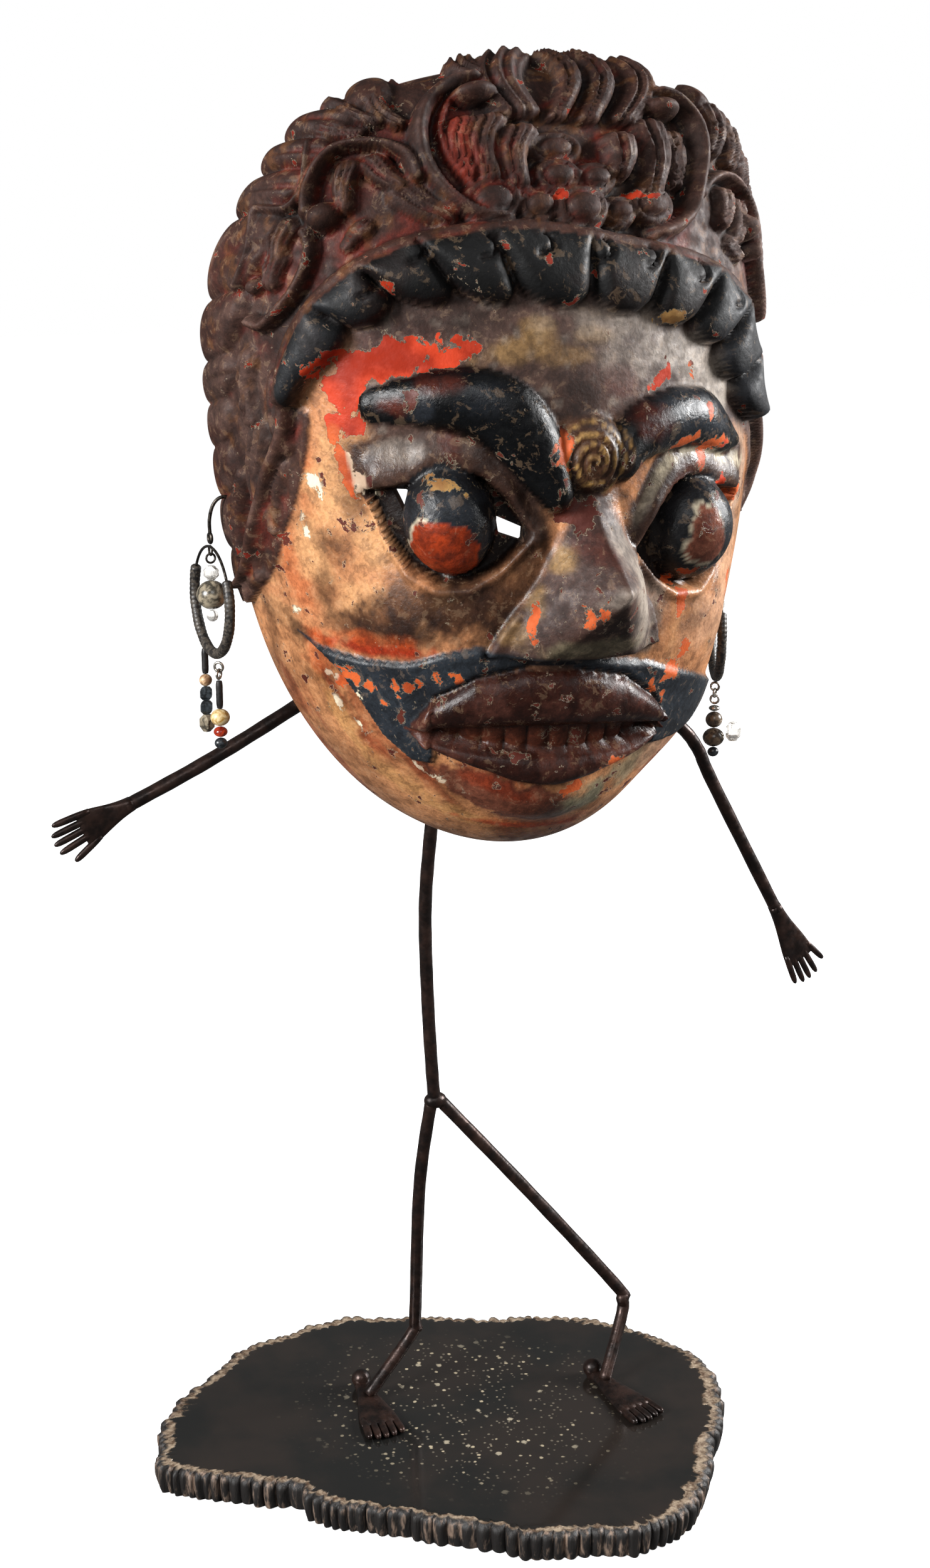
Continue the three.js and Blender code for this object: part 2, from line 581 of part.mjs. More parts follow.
// Slits on either side of each eyeball, cut right through the wood: corners in carving units.
const slits = [
  [[-75, 7], [-67, 7], [-70.5, -2]],
  [[-36, -1], [-25.5, -5], [-26, -9.5], [-35, -7]],
  [[29, -6], [29, -13], [21, -13.5], [21, -11]],
  [[69, 1], [62, 0], [65, -9]],
];

function slitCutter(corners) {
  const points = [];
  const n = corners.length;
  for (const height of [-maskWall - 3, 3]) {
    for (const [x, z] of corners) points.push(...maskPoint(x / unitsAcross, z / unitsUp, height).toArray());
  }
  const faces = [];
  for (let i = 0; i < n; i++) {
    const j = (i + 1) % n;
    faces.push(i, j, n + j, i, n + j, n + i);
    if (i > 1) faces.push(0, i, i - 1, n, n + i - 1, n + i);
  }
  return bodyFrom(points, faces);
}

// The stand: a stick figure of steel rod. Its pose is measured from the middle of the slab's upper face, in
// units that grow with the height of the mask's ears.
const figureUnit = earHeight / 456;
const posed = (x, y, z) => vec(x * figureUnit, y * figureUnit, slabThickness + z * figureUnit);
const behind = 8; // the rods pass behind the mask's open back, in the plane y = 8
const hip = posed(4.5, 26, 150);
const shoulder = posed(3.5, behind, 377);
const foreheadPlace = [0, 0.36];

const forehead = maskPoint(...foreheadPlace, -maskWall + socketDepth);
const foreheadInside = maskPoint(...foreheadPlace, -maskWall - 26);
const spinePoints = [
  hip,
  posed(3, 25, 158),
  posed(-0.8, 22, 201),
  posed(-4, 17, 247),
  posed(-4.2, 9.5, 288),
  posed(-1, behind, 328),
  shoulder,
  posed(3.5, 6, 437),
  posed(3.5, mix(behind, foreheadInside.y / figureUnit, 0.45),
    mix(437, (foreheadInside.z - slabThickness) / figureUnit, 0.82)),
  foreheadInside,
  forehead,
];
const weldDiameter = 11;
const spineBar = (diameter) => bar(spinePoints, diameter, 30);
const weld = (extra) => ball(hip, weldDiameter + extra, [1, 0.8, 0.7]);

const ankles = [posed(-28.5, 31, 0), posed(79, -4, 0)];
const turns = [-8, 7]; // of the feet, in degrees, from straight ahead
const footHeight = gap + footThickness;

const legPoints = [
  [posed(2.5, 26, 150), posed(-1, 32, 105), posed(-2.3, 35, 37), posed(-3.4, 35.2, 29), ankles[0]],
  [posed(6.5, 26, 150), posed(50, 18, 97), posed(93.5, 11.5, 42), posed(95.5, 10, 36), posed(95, 9, 28), ankles[1]],
];

// A foot: a flat sole that widens to five toes, and a forged ball at the heel.
const footLength = 48;
const heelWidth = 7;
const toeLine = 37; // from the heel to where the toes part
const toesWidth = 19;

function sole() {
  const shape = new THREE.Shape();
  shape.moveTo(-heelWidth / 2, 0);
  shape.lineTo(-heelWidth / 2, 14);
  shape.quadraticCurveTo(-heelWidth / 2, 24, -toesWidth / 2, toeLine);
  const toes = 5;
  const pitch = toesWidth / toes;
  for (let i = 0; i < toes; i++) {
    const start = -toesWidth / 2 + i * pitch;
    const longest = footLength - toeLine - 1.1 * abs(i - 1.6);
    shape.lineTo(start + 0.25 * pitch, toeLine + longest);
    shape.lineTo(start + 0.75 * pitch, toeLine + longest);
    if (i < toes - 1) shape.lineTo(start + pitch, toeLine);
  }
  shape.lineTo(toesWidth / 2, toeLine);
  shape.quadraticCurveTo(heelWidth / 2, 24, heelWidth / 2, 14);
  shape.lineTo(heelWidth / 2, 0);
  return new THREE.ExtrudeGeometry(shape, { depth: footThickness, bevelEnabled: false, curveSegments: 4 });
}

const heelBack = [13, 10]; // the ball's middle, behind the ankle

function heel(i, extra) {
  const [ankle, turn, back] = [ankles[i], (turns[i] * PI) / 180, heelBack[i]];
  const at = vec(ankle.x - back * sin(turn), ankle.y + back * cos(turn), ankle.z + gap + heelDiameter / 2);
  return ball(at, heelDiameter + extra);
}

function foot(i) {
  const geometry = sole();
  geometry.translate(0, -heelBack[i], 0);
  geometry.rotateZ(PI + (turns[i] * PI) / 180);
  geometry.translate(ankles[i].x, ankles[i].y, ankles[i].z + gap);
  return solid(geometry).add(heel(i, 0));
}

// A leg stands on its foot's upper face, clear of the heel.
function leg(i) {
  const below = new THREE.BoxGeometry(60, 60, 40);
  below.translate(ankles[i].x, ankles[i].y, ankles[i].z + footHeight + gap - 20);
  return bar(legPoints[i], rodDiameter, 16).subtract(solid(below)).subtract(heel(i, 2 * gap));
}

// The arms end in hammered flat hands with five fingers, drawn in the plane of the arms.
const handWidth = 16;
const palms = [20, 30];
const fingers = [[-0.12, 10], [-0.05, 12], [0, 12.5], [0.07, 12], [0.3, 8.5]]; // turn, length
const fingerWidth = 2.9;

function hand(wrist, direction, palm) {
  const along = vec(direction.x, 0, direction.z).normalize();
  const turn = atan2(along.z, along.x);
  const palmShape = new THREE.Shape();
  palmShape.moveTo(-2, -rodDiameter * 0.42);
  palmShape.quadraticCurveTo(palm * 0.5, -rodDiameter * 0.5, palm, -handWidth / 2);
  palmShape.lineTo(palm, handWidth / 2);
  palmShape.quadraticCurveTo(palm * 0.5, rodDiameter * 0.5, -2, rodDiameter * 0.42);
  const settings = { depth: armThickness, bevelEnabled: false, curveSegments: 4 };
  const place = (geometry) => {
    geometry.translate(0, 0, -armThickness / 2);
    geometry.rotateX(PI / 2);
    geometry.rotateY(-turn);
    geometry.translate(wrist.x, wrist.y, wrist.z);
    return solid(geometry);
  };
  let made = place(new THREE.ExtrudeGeometry(palmShape, settings));
  fingers.forEach(([lean, length], i) => {
    const across = mix(-handWidth / 2, handWidth / 2, (i + 0.5) / fingers.length);
    const finger = new THREE.Shape();
    finger.moveTo(-6, -fingerWidth / 2);
    finger.lineTo(length - 2, -fingerWidth / 2);
    finger.lineTo(length, -fingerWidth / 5);
    finger.lineTo(length, fingerWidth / 5);
    finger.lineTo(length - 2, fingerWidth / 2);
    finger.lineTo(-6, fingerWidth / 2);
    const geometry = new THREE.ExtrudeGeometry(finger, settings);
    geometry.rotateZ(lean);
    geometry.translate(palm, across, 0);
    made = made.add(place(geometry));
  });
  return made;
}

const armPoints = [
  [shoulder, posed(-20, behind, 371), posed(-66.7, behind, 346.7), posed(-105.5, behind, 327.8),
    posed(-140.6, behind, 313)],
  [shoulder, posed(45, behind, 369), posed(90, behind, 339), posed(116.7, behind, 319.5), posed(127.5, behind, 307),
    posed(136, behind, 290), posed(173.4, behind, 222.5)],
];

function arm(i) {
  const points = armPoints[i];
  const wrist = points[points.length - 1];
  const direction = wrist.clone().sub(points[points.length - 2]);
  return bar(points, rodDiameter, 14).add(hand(wrist, direction, palms[i]));
}

// The slab: a polished face inside an upright crust of columns, from an outline taken round it.
const slabOutline = [[-130.5, 40.6], [-120.2, 57.9], [-102, 77.9], [-76.2, 97.6], [-49.4, 108.4], [-18.3, 111],
  [18.6, 100.8], [51.8, 81.8], [82, 71.2], [107.8, 52.2], [124.6, 30.7], [133.6, 3.1], [131.2, -21.5],
  [118.6, -46.3], [96.4, -76.5], [76.1, -99.6], [56.6, -111.3], [32.5, -110.2], [6.1, -102.9], [-12.3, -91.8],
  [-37.7, -69.9], [-68.5, -45.3], [-82.4, -28.4], [-84.8, -19.3], [-100.7, -6.5], [-124.4, 10], [-133.6, 22.4]];
const columnWidth = 11;
const columnDepth = 1.6;
const crustBulge = 1.5;

function slab() {
  const k = slabLength / 268;
  const corners = slabOutline.map(([x, y]) => vec(x * k, y * k, 0)).reverse();
  const curve = new THREE.CatmullRomCurve3(corners, true, "centripetal");
  const columns = round(curve.getLength() / columnWidth);
  const steps = columns * 2;
  const rings = [[0, -1], [0.6, crustBulge], [1, 0]];
  const points = [];
  const faces = [];
  for (const [rise, bulge] of rings) {
    for (let i = 0; i < steps; i++) {
      const at = curve.getPointAt(i / steps);
      const ahead = curve.getTangentAt(i / steps);
      const column = columnDepth * (i % 2 === 0 ? -1 : 0.3 * sin(2.1 * i));
      const outward = column + bulge;
      points.push(at.x + ahead.y * outward, at.y - ahead.x * outward, rise * slabThickness);
    }
  }
  for (let ring = 0; ring < rings.length - 1; ring++) {
    for (let i = 0; i < steps; i++) {
      const j = (i + 1) % steps;
      const [a, b] = [ring * steps + i, ring * steps + j];
      faces.push(a, b, a + steps, b, b + steps, a + steps);
    }
  }
  const last = (rings.length - 1) * steps;
  const outlineFrom = (first) => {
    const outline = [];
    for (let i = first; i < first + steps; i++) outline.push(new THREE.Vector2(points[3 * i], points[3 * i + 1]));
    return THREE.ShapeUtils.triangulateShape(outline, []);
  };
  for (const [a, b, c] of outlineFrom(0)) faces.push(a, c, b);
  for (const [a, b, c] of outlineFrom(last)) faces.push(last + a, last + b, last + c);
  return bodyFrom(points, faces);
}

// Earrings. Each hangs from a hook in the edge of the side hair. Places are below the hook's loop.
const hookLoop = 3.6; // diameter of the small loops
const hookDrop = 11; // from the hole in the hair down to the loop
const inHair = 6.5; // the hook's end goes this far past the edge of the hair

function stackOf(prefix, top, at, beads) {
  let z = top;
  for (const [name, diameter, tall, wide, colour, roughness, metalness] of beads) {
    z -= tall / 2;
    piece(prefix + name, ball(vec(at.x, at.y, z), diameter, [1, 1, tall / diameter], wide, 4), colour, roughness,
      metalness);
    z -= tall / 2 + gap;
  }
  return z;
}

function tubeDown(at, top, tall) {
  const geometry = new THREE.CylinderGeometry(cordDiameter / 2, cordDiameter / 2, tall, 8);
  geometry.rotateX(PI / 2);
  geometry.translate(at.x, at.y, top - tall / 2);
  return solid(geometry);
}

function ringAt(at, diameter, wire, turn, upright = true) {
  const geometry = new THREE.TorusGeometry(diameter / 2, wire / 2, 4, 8);
  if (upright) geometry.rotateX(PI / 2);
  geometry.rotateZ(turn);
  geometry.translate(at.x, at.y, at.z);
  return solid(geometry);
}

// A chain of small rings down from a point, each turned across the last, joined where they touch.
function chain(at, top, count, diameter, wire, turn) {
  let made = null;
  for (let i = 0; i < count; i++) {
    const z = top - (diameter + wire) / 2 - i * (diameter - wire * 0.6);
    const link = ringAt(vec(at.x, at.y, z), diameter, wire, turn + (i % 2 ? PI / 2 : 0));
    made = made ? made.add(link) : link;
  }
  return made;
}

// Part of a circle standing in the hoop's plane, from one angle to another, measured from its top.
function hoopArc(middle, turn, from, to, diameter, steps) {
  const points = [];
  for (let i = 0; i <= 12; i++) {
    const a = mix(from, to, i / 12);
    const across = (hoopDiameter / 2) * sin(a);
    const up = (hoopDiameter / 2) * cos(a);
    points.push(vec(middle.x - across * sin(turn), middle.y + across * cos(turn), middle.z + up));
  }
  return bar(points, diameter, steps, 6);
}

const coveredFrom = 0.33 * PI; // where the wrapped tube starts, on either side of the top

function hookPoints({ hang, outward, off }) {
  return [
    vec(hang.x - outward * (off + inHair), hang.y - 2, hang.z + 7.5),
    vec(hang.x - outward * (off + 1.5), hang.y - 2, hang.z + 7.5),
    vec(hang.x - outward * 1.2, hang.y - 1, hang.z + 4.5),
    vec(hang.x, hang.y, hang.z - 1),
    vec(hang.x, hang.y, hang.z + 7.5 - hookDrop - 3),
  ];
}

function earringTop(prefix, ear) {
  const { hang, turn } = ear;
  const loopAt = vec(hang.x, hang.y, hang.z - 6.5 - hookLoop / 2);
  const hook = bar(hookPoints(ear), hookWire, 12, 6).add(ringAt(loopAt, hookLoop, hookWire, turn));
  piece(prefix + "hook", hook, 0x23201e, 0.4, 0.9);
  const hoopTop = loopAt.z - hookLoop / 2 - hookWire / 2 - gap;
  const middle = vec(hang.x, hang.y, hoopTop - hoopWire / 2 - hoopDiameter / 2);
  const wire = hoopArc(middle, turn, -coveredFrom + 0.02, coveredFrom - 0.02, hoopWire, 8);
  const link = chain(hang, middle.z + hoopDiameter / 2 + hoopWire * 0.7, 2, hookLoop, hoopWire * 0.8, turn);
  const covered = hoopArc(middle, turn, coveredFrom, 2 * PI - coveredFrom, hoopTube, 20);
  piece(prefix + "hoop_wire", wire.add(link), 0x4a463f, 0.35, 0.9);
  piece(prefix + "hoop", covered.subtract(hoopArc(middle, turn, -coveredFrom, coveredFrom, hoopWire + 2 * gap, 8)),
    0x2a2624, 0.55, 0.2);
  return middle;
}

// Where each earring hangs: off is how far outside the edge of the hair its loop is.
function hung(edge, outward, off, turn) {
  return { hang: vec(edge.x + outward * off, edge.y - 3, edge.z - 6), outward, off, turn };
}

const nearEar = hung(maskPoint(-0.998, -0.02, 6 * maskUnit), -1, 2.5, 0);
const farEar = hung(maskPoint(0.98, -0.24, 5 * maskUnit), 1, 14, (-25 * PI) / 180);
const linkTall = 2 * hookLoop;

function nearEarring() {
  const prefix = "earring_left_";
  const middle = earringTop(prefix, nearEar);
  const inside = middle.z + hoopDiameter / 2 - linkTall - gap;
  stackOf(prefix, inside, vec(middle.x, middle.y, 0), [
    ["crystal_bead", crystalDiameter, crystalDiameter * 0.9, 8, 0xd8d4cc, 0.1, 0],
    ["agate_bead", agateDiameter, agateDiameter * 0.95, 8, 0x5b5142, 0.35, 0],
    ["clear_bead", pearlDiameter, pearlDiameter, 8, 0xd9cfc6, 0.15, 0],
  ]);
  const reachOf = (across) => {
    const up = sqrt((hoopDiameter / 2) ** 2 - across ** 2);
    const slope = across / up;
    return middle.z - up - (hoopTube / 2) * hypot(1, slope) - (cordDiameter / 2) * slope - gap;
  };
  const back = vec(middle.x, middle.y + 11, 0);
  const backTop = reachOf(11);
  const backTube = 10;
  piece(prefix + "back_tube", tubeDown(back, backTop, backTube), 0x141312, 0.4);
  stackOf(prefix, backTop - backTube - gap, back, [
    ["cream_bead", creamDiameter, creamDiameter * 0.95, 8, 0xb89d7c, 0.35, 0],
    ["upper_cube_bead", cubeSide * 1.2, cubeSide, 4, 0x23272a, 0.3, 0],
    ["lower_cube_bead", cubeSide * 1.2, cubeSide, 4, 0x23272a, 0.3, 0],
    ["faceted_bead", facetDiameter, facetDiameter * 1.05, 6, 0x6e6555, 0.3, 0],
  ]);
  const front = vec(middle.x, middle.y - 5.6, 0);
  const frontTop = reachOf(5.6);
  const links = chain(front, frontTop, 2, hookLoop, hoopWire, PI / 4);
  piece(prefix + "front_links", links, 0xb9b2a6, 0.3, 0.9);
  const tubeTop = frontTop - links.boundingBox().max[2] + links.boundingBox().min[2] - gap;
  const frontTube = 11;
  piece(prefix + "front_tube", tubeDown(front, tubeTop, frontTube), 0x141312, 0.4);
  stackOf(prefix, tubeTop - frontTube - gap, front, [
    ["gold_bead", goldDiameter, goldDiameter * 0.88, 10, 0xb79a5e, 0.3, 0.2],
    ["red_bead", redDiameter, redDiameter * 0.75, 8, 0xa5371d, 0.25, 0],
    ["jet_bead", jetDiameter, jetDiameter * 0.85, 6, 0x161514, 0.3, 0],
  ]);
}

function farEarring() {
  const prefix = "earring_right_";
  const middle = earringTop(prefix, farEar);
  const inside = middle.z + hoopDiameter / 2 - linkTall - gap;
  stackOf(prefix, inside, vec(middle.x, middle.y, 0), [
    ["crystal_bead", crystalDiameter, crystalDiameter * 0.9, 8, 0xd8d4cc, 0.1, 0],
    ["clear_bead", pearlDiameter, pearlDiameter, 8, 0xd9cfc6, 0.15, 0],
  ]);
  const top = middle.z - hoopDiameter / 2 - hoopTube / 2 - gap;
  const links = chain(middle, top, 3, hookLoop, hoopWire, PI / 4);
  piece(prefix + "links", links, 0x8f877c, 0.3, 0.9);
  const low = top - links.boundingBox().max[2] + links.boundingBox().min[2] - gap;
  const end = stackOf(prefix, low, middle, [
    ["cap", 5, 2.6, 10, 0xcfc7b8, 0.3, 0.6],
    ["smoke_bead", smokeDiameter, smokeDiameter * 0.95, 10, 0x3b3026, 0.3, 0],
    ["dark_bead", darkDiameter, darkDiameter * 0.85, 10, 0x3a2f27, 0.3, 0],
    ["jet_bead", jetDiameter, jetDiameter * 0.85, 6, 0x161514, 0.3, 0],
  ]);
  const side = (darkDiameter + glassDiameter) / 2 + gap - 0.2;
  const glassAt = vec(middle.x + side * cos(farEar.turn), middle.y + side * sin(farEar.turn), 0);
  stackOf(prefix, end + 2.2 * glassDiameter, glassAt, [
    ["glass_bead", glassDiameter, glassDiameter * 1.15, 6, 0xb8ad98, 0.1, 0],
  ]);
}

// Assembly
const steel = [0x2a211d, 0.38, 0.85];
let mask = maskShell();
for (const corners of slits) mask = mask.subtract(slitCutter(corners));
mask = mask.subtract(spineBar(rodDiameter + 2 * gap));
for (const ear of [nearEar, farEar]) mask = mask.subtract(bar(hookPoints(ear), hookWire + 2 * gap, 12, 6));
piece("mask", mask, 0x6b4a36, 0.55);
piece("spine_rod", spineBar(rodDiameter).add(weld(0)), ...steel);
["left", "right"].forEach((side, i) => {
  const clearOfSpine = spineBar(rodDiameter + 2 * gap);
  piece("arm_" + side, arm(i).subtract(clearOfSpine), ...steel);
  piece("leg_" + side, leg(i).subtract(weld(2 * gap)).subtract(clearOfSpine), ...steel);
  piece("foot_" + side, foot(i), ...steel);
});
piece("base_slab", slab(), 0x2e2824, 0.3);
nearEarring();
farEarring();

export default object;
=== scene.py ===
# A carved and painted wooden mask on a steel stick figure that stands on a slab of dark stone.
# Metres in Blender. The mask's own shape is worked out in millimetres.
import math

import bpy
import numpy as np
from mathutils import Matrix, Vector


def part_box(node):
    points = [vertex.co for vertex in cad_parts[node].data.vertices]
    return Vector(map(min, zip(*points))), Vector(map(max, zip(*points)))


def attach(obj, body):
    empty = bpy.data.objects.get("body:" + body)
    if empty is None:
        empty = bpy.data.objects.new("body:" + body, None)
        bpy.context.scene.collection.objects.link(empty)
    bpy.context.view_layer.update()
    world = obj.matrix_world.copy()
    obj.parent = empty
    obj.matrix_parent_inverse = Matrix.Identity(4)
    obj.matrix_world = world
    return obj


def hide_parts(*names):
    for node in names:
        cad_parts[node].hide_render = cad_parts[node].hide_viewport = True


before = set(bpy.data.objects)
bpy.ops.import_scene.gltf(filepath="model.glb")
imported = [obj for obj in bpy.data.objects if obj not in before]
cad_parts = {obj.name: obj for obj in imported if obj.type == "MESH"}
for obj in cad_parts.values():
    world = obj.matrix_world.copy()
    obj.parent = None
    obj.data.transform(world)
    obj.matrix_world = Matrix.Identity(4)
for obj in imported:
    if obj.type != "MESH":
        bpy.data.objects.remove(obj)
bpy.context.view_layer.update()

PI = math.pi
MM = 0.001

# Sizes of the solids, in millimetres, as the source of the part names them
MASK_HEIGHT = 301
MASK_WALL = 11
EAR_HEIGHT = 456
SLAB_THICKNESS = 14
ROD = 6
MASK_AT = (3.5, -16, EAR_HEIGHT)
UNITS_ACROSS = 160
UNITS_UP = 200
CELLS = 314


# Small helpers
def linear(code):
    """An sRGB hex value as linear red, green, blue, alpha."""
    parts = [int(code[i:i + 2], 16) / 255 for i in (1, 3, 5)]
    return tuple(c / 12.92 if c <= 0.04045 else ((c + 0.055) / 1.055) ** 2.4 for c in parts) + (1.0,)


def smooth(low, high, v):
    k = np.clip((v - low) / (high - low), 0, 1)
    return k * k * (3 - 2 * k)


def dome(q, power=0.5):
    return np.maximum(1 - q * q, 0) ** power


def mix(a, b, k):
    return a + (b - a) * k


def cubic(a, b, c, d, k):
    bend, twist = 2 * a - 5 * b + 4 * c - d, 3 * b - a - 3 * c + d
    return 0.5 * (2 * b + (c - a) * k + bend * k * k + twist * k ** 3)


def spline(points, per_span=6):
    rows = np.array(points, float)
    ends = np.vstack([rows[:1], rows, rows[-1:]])
    run = [cubic(*ends[i:i + 4], j / per_span) for i in range(len(rows) - 1) for j in range(per_span)]
    return np.array(run + [rows[-1]])


def share_along(ax, az, bx, bz, x, z):
    """How far along the stretch from a to b a place lies, and how far from it."""
    dx, dz = bx - ax, bz - az
    k = np.clip(((x - ax) * dx + (z - az) * dz) / (dx * dx + dz * dz + 1e-9), 0, 1)
    return k, np.hypot(x - ax - k * dx, z - az - k * dz)


def reach(run, x, z):
    """How far places lie from a run of points, in the run's half widths, and how far along it they are."""
    nearest = np.full(x.shape, 1e9)
    along = np.zeros(x.shape)
    for i in range(len(run) - 1):
        (ax, az, aw), (bx, bz, bw) = run[i][:3], run[i + 1][:3]
        k, gone = share_along(ax, az, bx, bz, x, z)
        q = gone / mix(aw, bw, k)
        closer = q < nearest
        nearest = np.where(closer, q, nearest)
        along = np.where(closer, (i + k) / (len(run) - 1), along)
    return nearest, along


def level(points, x):
    rows = np.array(points, float)
    return np.interp(x, rows[:, 0], rows[:, 1])


def chance(ix, iz, seed):
    value = np.sin(ix * 127.1 + iz * 311.7 + seed * 74.7) * 43758.5453
    return value - np.floor(value)


def cloud(x, z, size, seed, octaves=4):
    """Soft noise from 0 to 1 whose largest blotches are size across."""
    total = np.zeros(x.shape)
    weight, whole = 1.0, 0.0
    for octave in range(octaves):
        fx, fz = x / size + 37.3 * octave, z / size + 11.9 * octave
        ix, iz = np.floor(fx), np.floor(fz)
        kx, kz = smooth(0, 1, fx - ix), smooth(0, 1, fz - iz)
        low = mix(chance(ix, iz, seed), chance(ix + 1, iz, seed), kx)
        high = mix(chance(ix, iz + 1, seed), chance(ix + 1, iz + 1, seed), kx)
        total += weight * mix(low, high, kz)
        whole += weight
        weight *= 0.55
        size /= 2.1
    return total / whole


# The carving. Places are in units of the mask's own size, about a millimetre each: x across the face,
# z up it, both along the bent surface from between the eyes.
BORDER_STEP = 10
BORDER_START = -110
HAIRLINE = [160, 131, 118, 110, 107, 110, 101.5, 97, 87, 78, 73, 70, 69.5, 71, 73.5, 77.5, 79.5, 82, 92,
            102, 112, 128, 158]
BAND_LINE = [176, 146, 133, 124, 117, 121.5, 121.5, 118, 112.5, 106, 101, 96, 94, 96, 100.5, 105, 105, 104,
             106, 116, 127, 143, 174]
CURL_BORDERS = [-66, -47, -37, -27, -15.5, 1.5, 18, 32, 44, 56, 70]
PETAL_BORDERS = [-107, -95, -85, -76, -68.5, -61.4, -51.2, -38.2, -31, -25.3, -19.5, -14.7, -6.2, -1.3, 2,
                 5.5, 10.9, 14.4, 20.1, 25.2, 31.2, 35.9, 42, 49, 57, 65, 73, 82, 92, 107]


def border(line, angle):
    rows = np.array(line, float)
    place = np.clip((angle - BORDER_START) / BORDER_STEP, 0, len(rows) - 1.001)
    i = np.floor(place).astype(int)
    at = [rows[np.clip(i + n, 0, len(rows) - 1)] for n in (-1, 0, 1, 2)]
    return cubic(*at, place - i)


def in_cell(borders, angle):
    """Place inside the cell that an angle falls in, from -1 to 1, the cell's number and its half width."""
    rows = np.array(borders, float)
    i = np.clip(np.searchsorted(rows, angle, side="left") - 1, 0, len(rows) - 2)
    half = (rows[i + 1] - rows[i]) / 2
    return np.clip((angle - rows[i]) / half - 1, -1, 1), i, half


# Scroll stems of the crown: points, half width, height
STEMS = [
    ([(-24, 166), (-32, 162), (-39, 148), (-42.5, 130), (-42, 116), (-38, 104), (-31, 96),
    (-22, 92)], 3.4, 10),
    ([(-30, 156), (-35, 138), (-35, 121), (-31, 109), (-26, 104)], 1.5, 6),
    ([(33, 158), (39, 155), (46, 142), (48.5, 126), (47, 111), (43, 98), (36, 90), (28, 86)], 3.4, 10),
    ([(-84, 110), (-83, 120), (-80, 127), (-75, 134), (-68, 138), (-59, 136), (-52, 131), (-47, 124),
    (-46, 114)],
     3.6, 10),
    ([(-86, 102), (-85, 94), (-89, 85), (-95, 78), (-104, 72), (-110, 70), (-115, 73)], 3, 8),
    ([(-107, 122), (-109, 107), (-113, 98), (-119, 90)], 3, 7.5),
    ([(-106, 124), (-93, 116), (-86, 121), (-81, 137), (-78, 148)], 2.6, 7.5),
    ([(85, 87), (86, 98), (83, 108), (76, 115), (68, 118.5), (60, 117.5), (52, 111), (48, 104)], 2.8, 8.5),
    ([(90, 96), (89, 88), (93, 79), (99, 72), (108, 66), (117, 67)], 3, 7.5),
    ([(110, 116), (112, 101), (116, 92), (122, 84)], 3.2, 7),
]
KNOBS = [
    (-24, 154, 7.5, 12), (33, 147, 7, 11.5), (-79, 106, 7, 11), (80, 98, 6.5, 10), (-111, 87, 4, 7),
    (114, 81, 4, 7),
]
ROSETTES = [
    (-25, 100, 10, 9.5), (2, 95, 9.5, 10.5), (27, 97, 9, 9.5), (-11, 97, 7.5, 8.5), (-4, 108, 8, 9.5),
    (8, 107, 7.5, 9), (15, 94, 6.5, 8.5), (-3, 121, 9, 6.5),
]
# Leaves: x and z of both ends, half width, height
LEAVES = [
    (-28, 137, -30, 112, 4.5, 7), (-21, 136, -24, 110, 5.2, 8.5), (-13, 129, -16, 106, 5.2, 8.5),
    (17, 124, 16, 110, 5.5, 9.5), (28, 133, 28, 104, 6.5, 8), (38, 132, 39, 108, 4, 5),
    (-12, 196, -12, 142, 9, 7.5), (1, 198, -1, 138, 4.4, 6.5), (11.5, 198, 8.5, 137, 5, 6.8),
    (28, 192, 20, 138, 6.8, 7), (-26, 192, -22, 172, 6, 6.5), (-67, 125, -71, 108, 5, 7.5),
    (-58, 124, -52, 112, 5.5, 7), (-50, 108, -40, 97, 7, 6), (-100, 127, -85, 143, 6, 3.5),
    (-72, 154, -60, 143, 5, 6.5), (-64, 162, -53, 147, 4.6, 6.5), (-53, 169, -47, 143, 4.4, 6.5),
    (60, 160, 57, 130, 6, 6.5), (74, 152, 69, 127, 6, 6.5), (87, 141, 81, 121, 5.5, 6.5),
    (-96, 106, -99, 98, 6.5, 6), (-100, 94, -103, 86, 5.5, 6), (65, 108, 62, 96, 5, 6.5),
    (76, 106, 72, 92, 5, 6), (99, 99, 102, 91, 6.5, 6), (103, 87, 106, 79, 5.5, 5.5),
    (109, 113, 99, 128, 8, 6), (-66, 97, -72, 92, 4, 4.5), (68, 88, 74, 84, 4, 4.5),
]
# How far out the lobes of the rim start, over the angle
RIM_START = [
    (-110, 0.88), (-62, 0.84), (-50, 0.79), (-36, 0.78), (-26, 0.8), (-15, 0.84), (-11, 1.1), (13, 1.1),
    (17, 0.84), (28, 0.82), (48, 0.8), (60, 0.84), (110, 0.88),
]
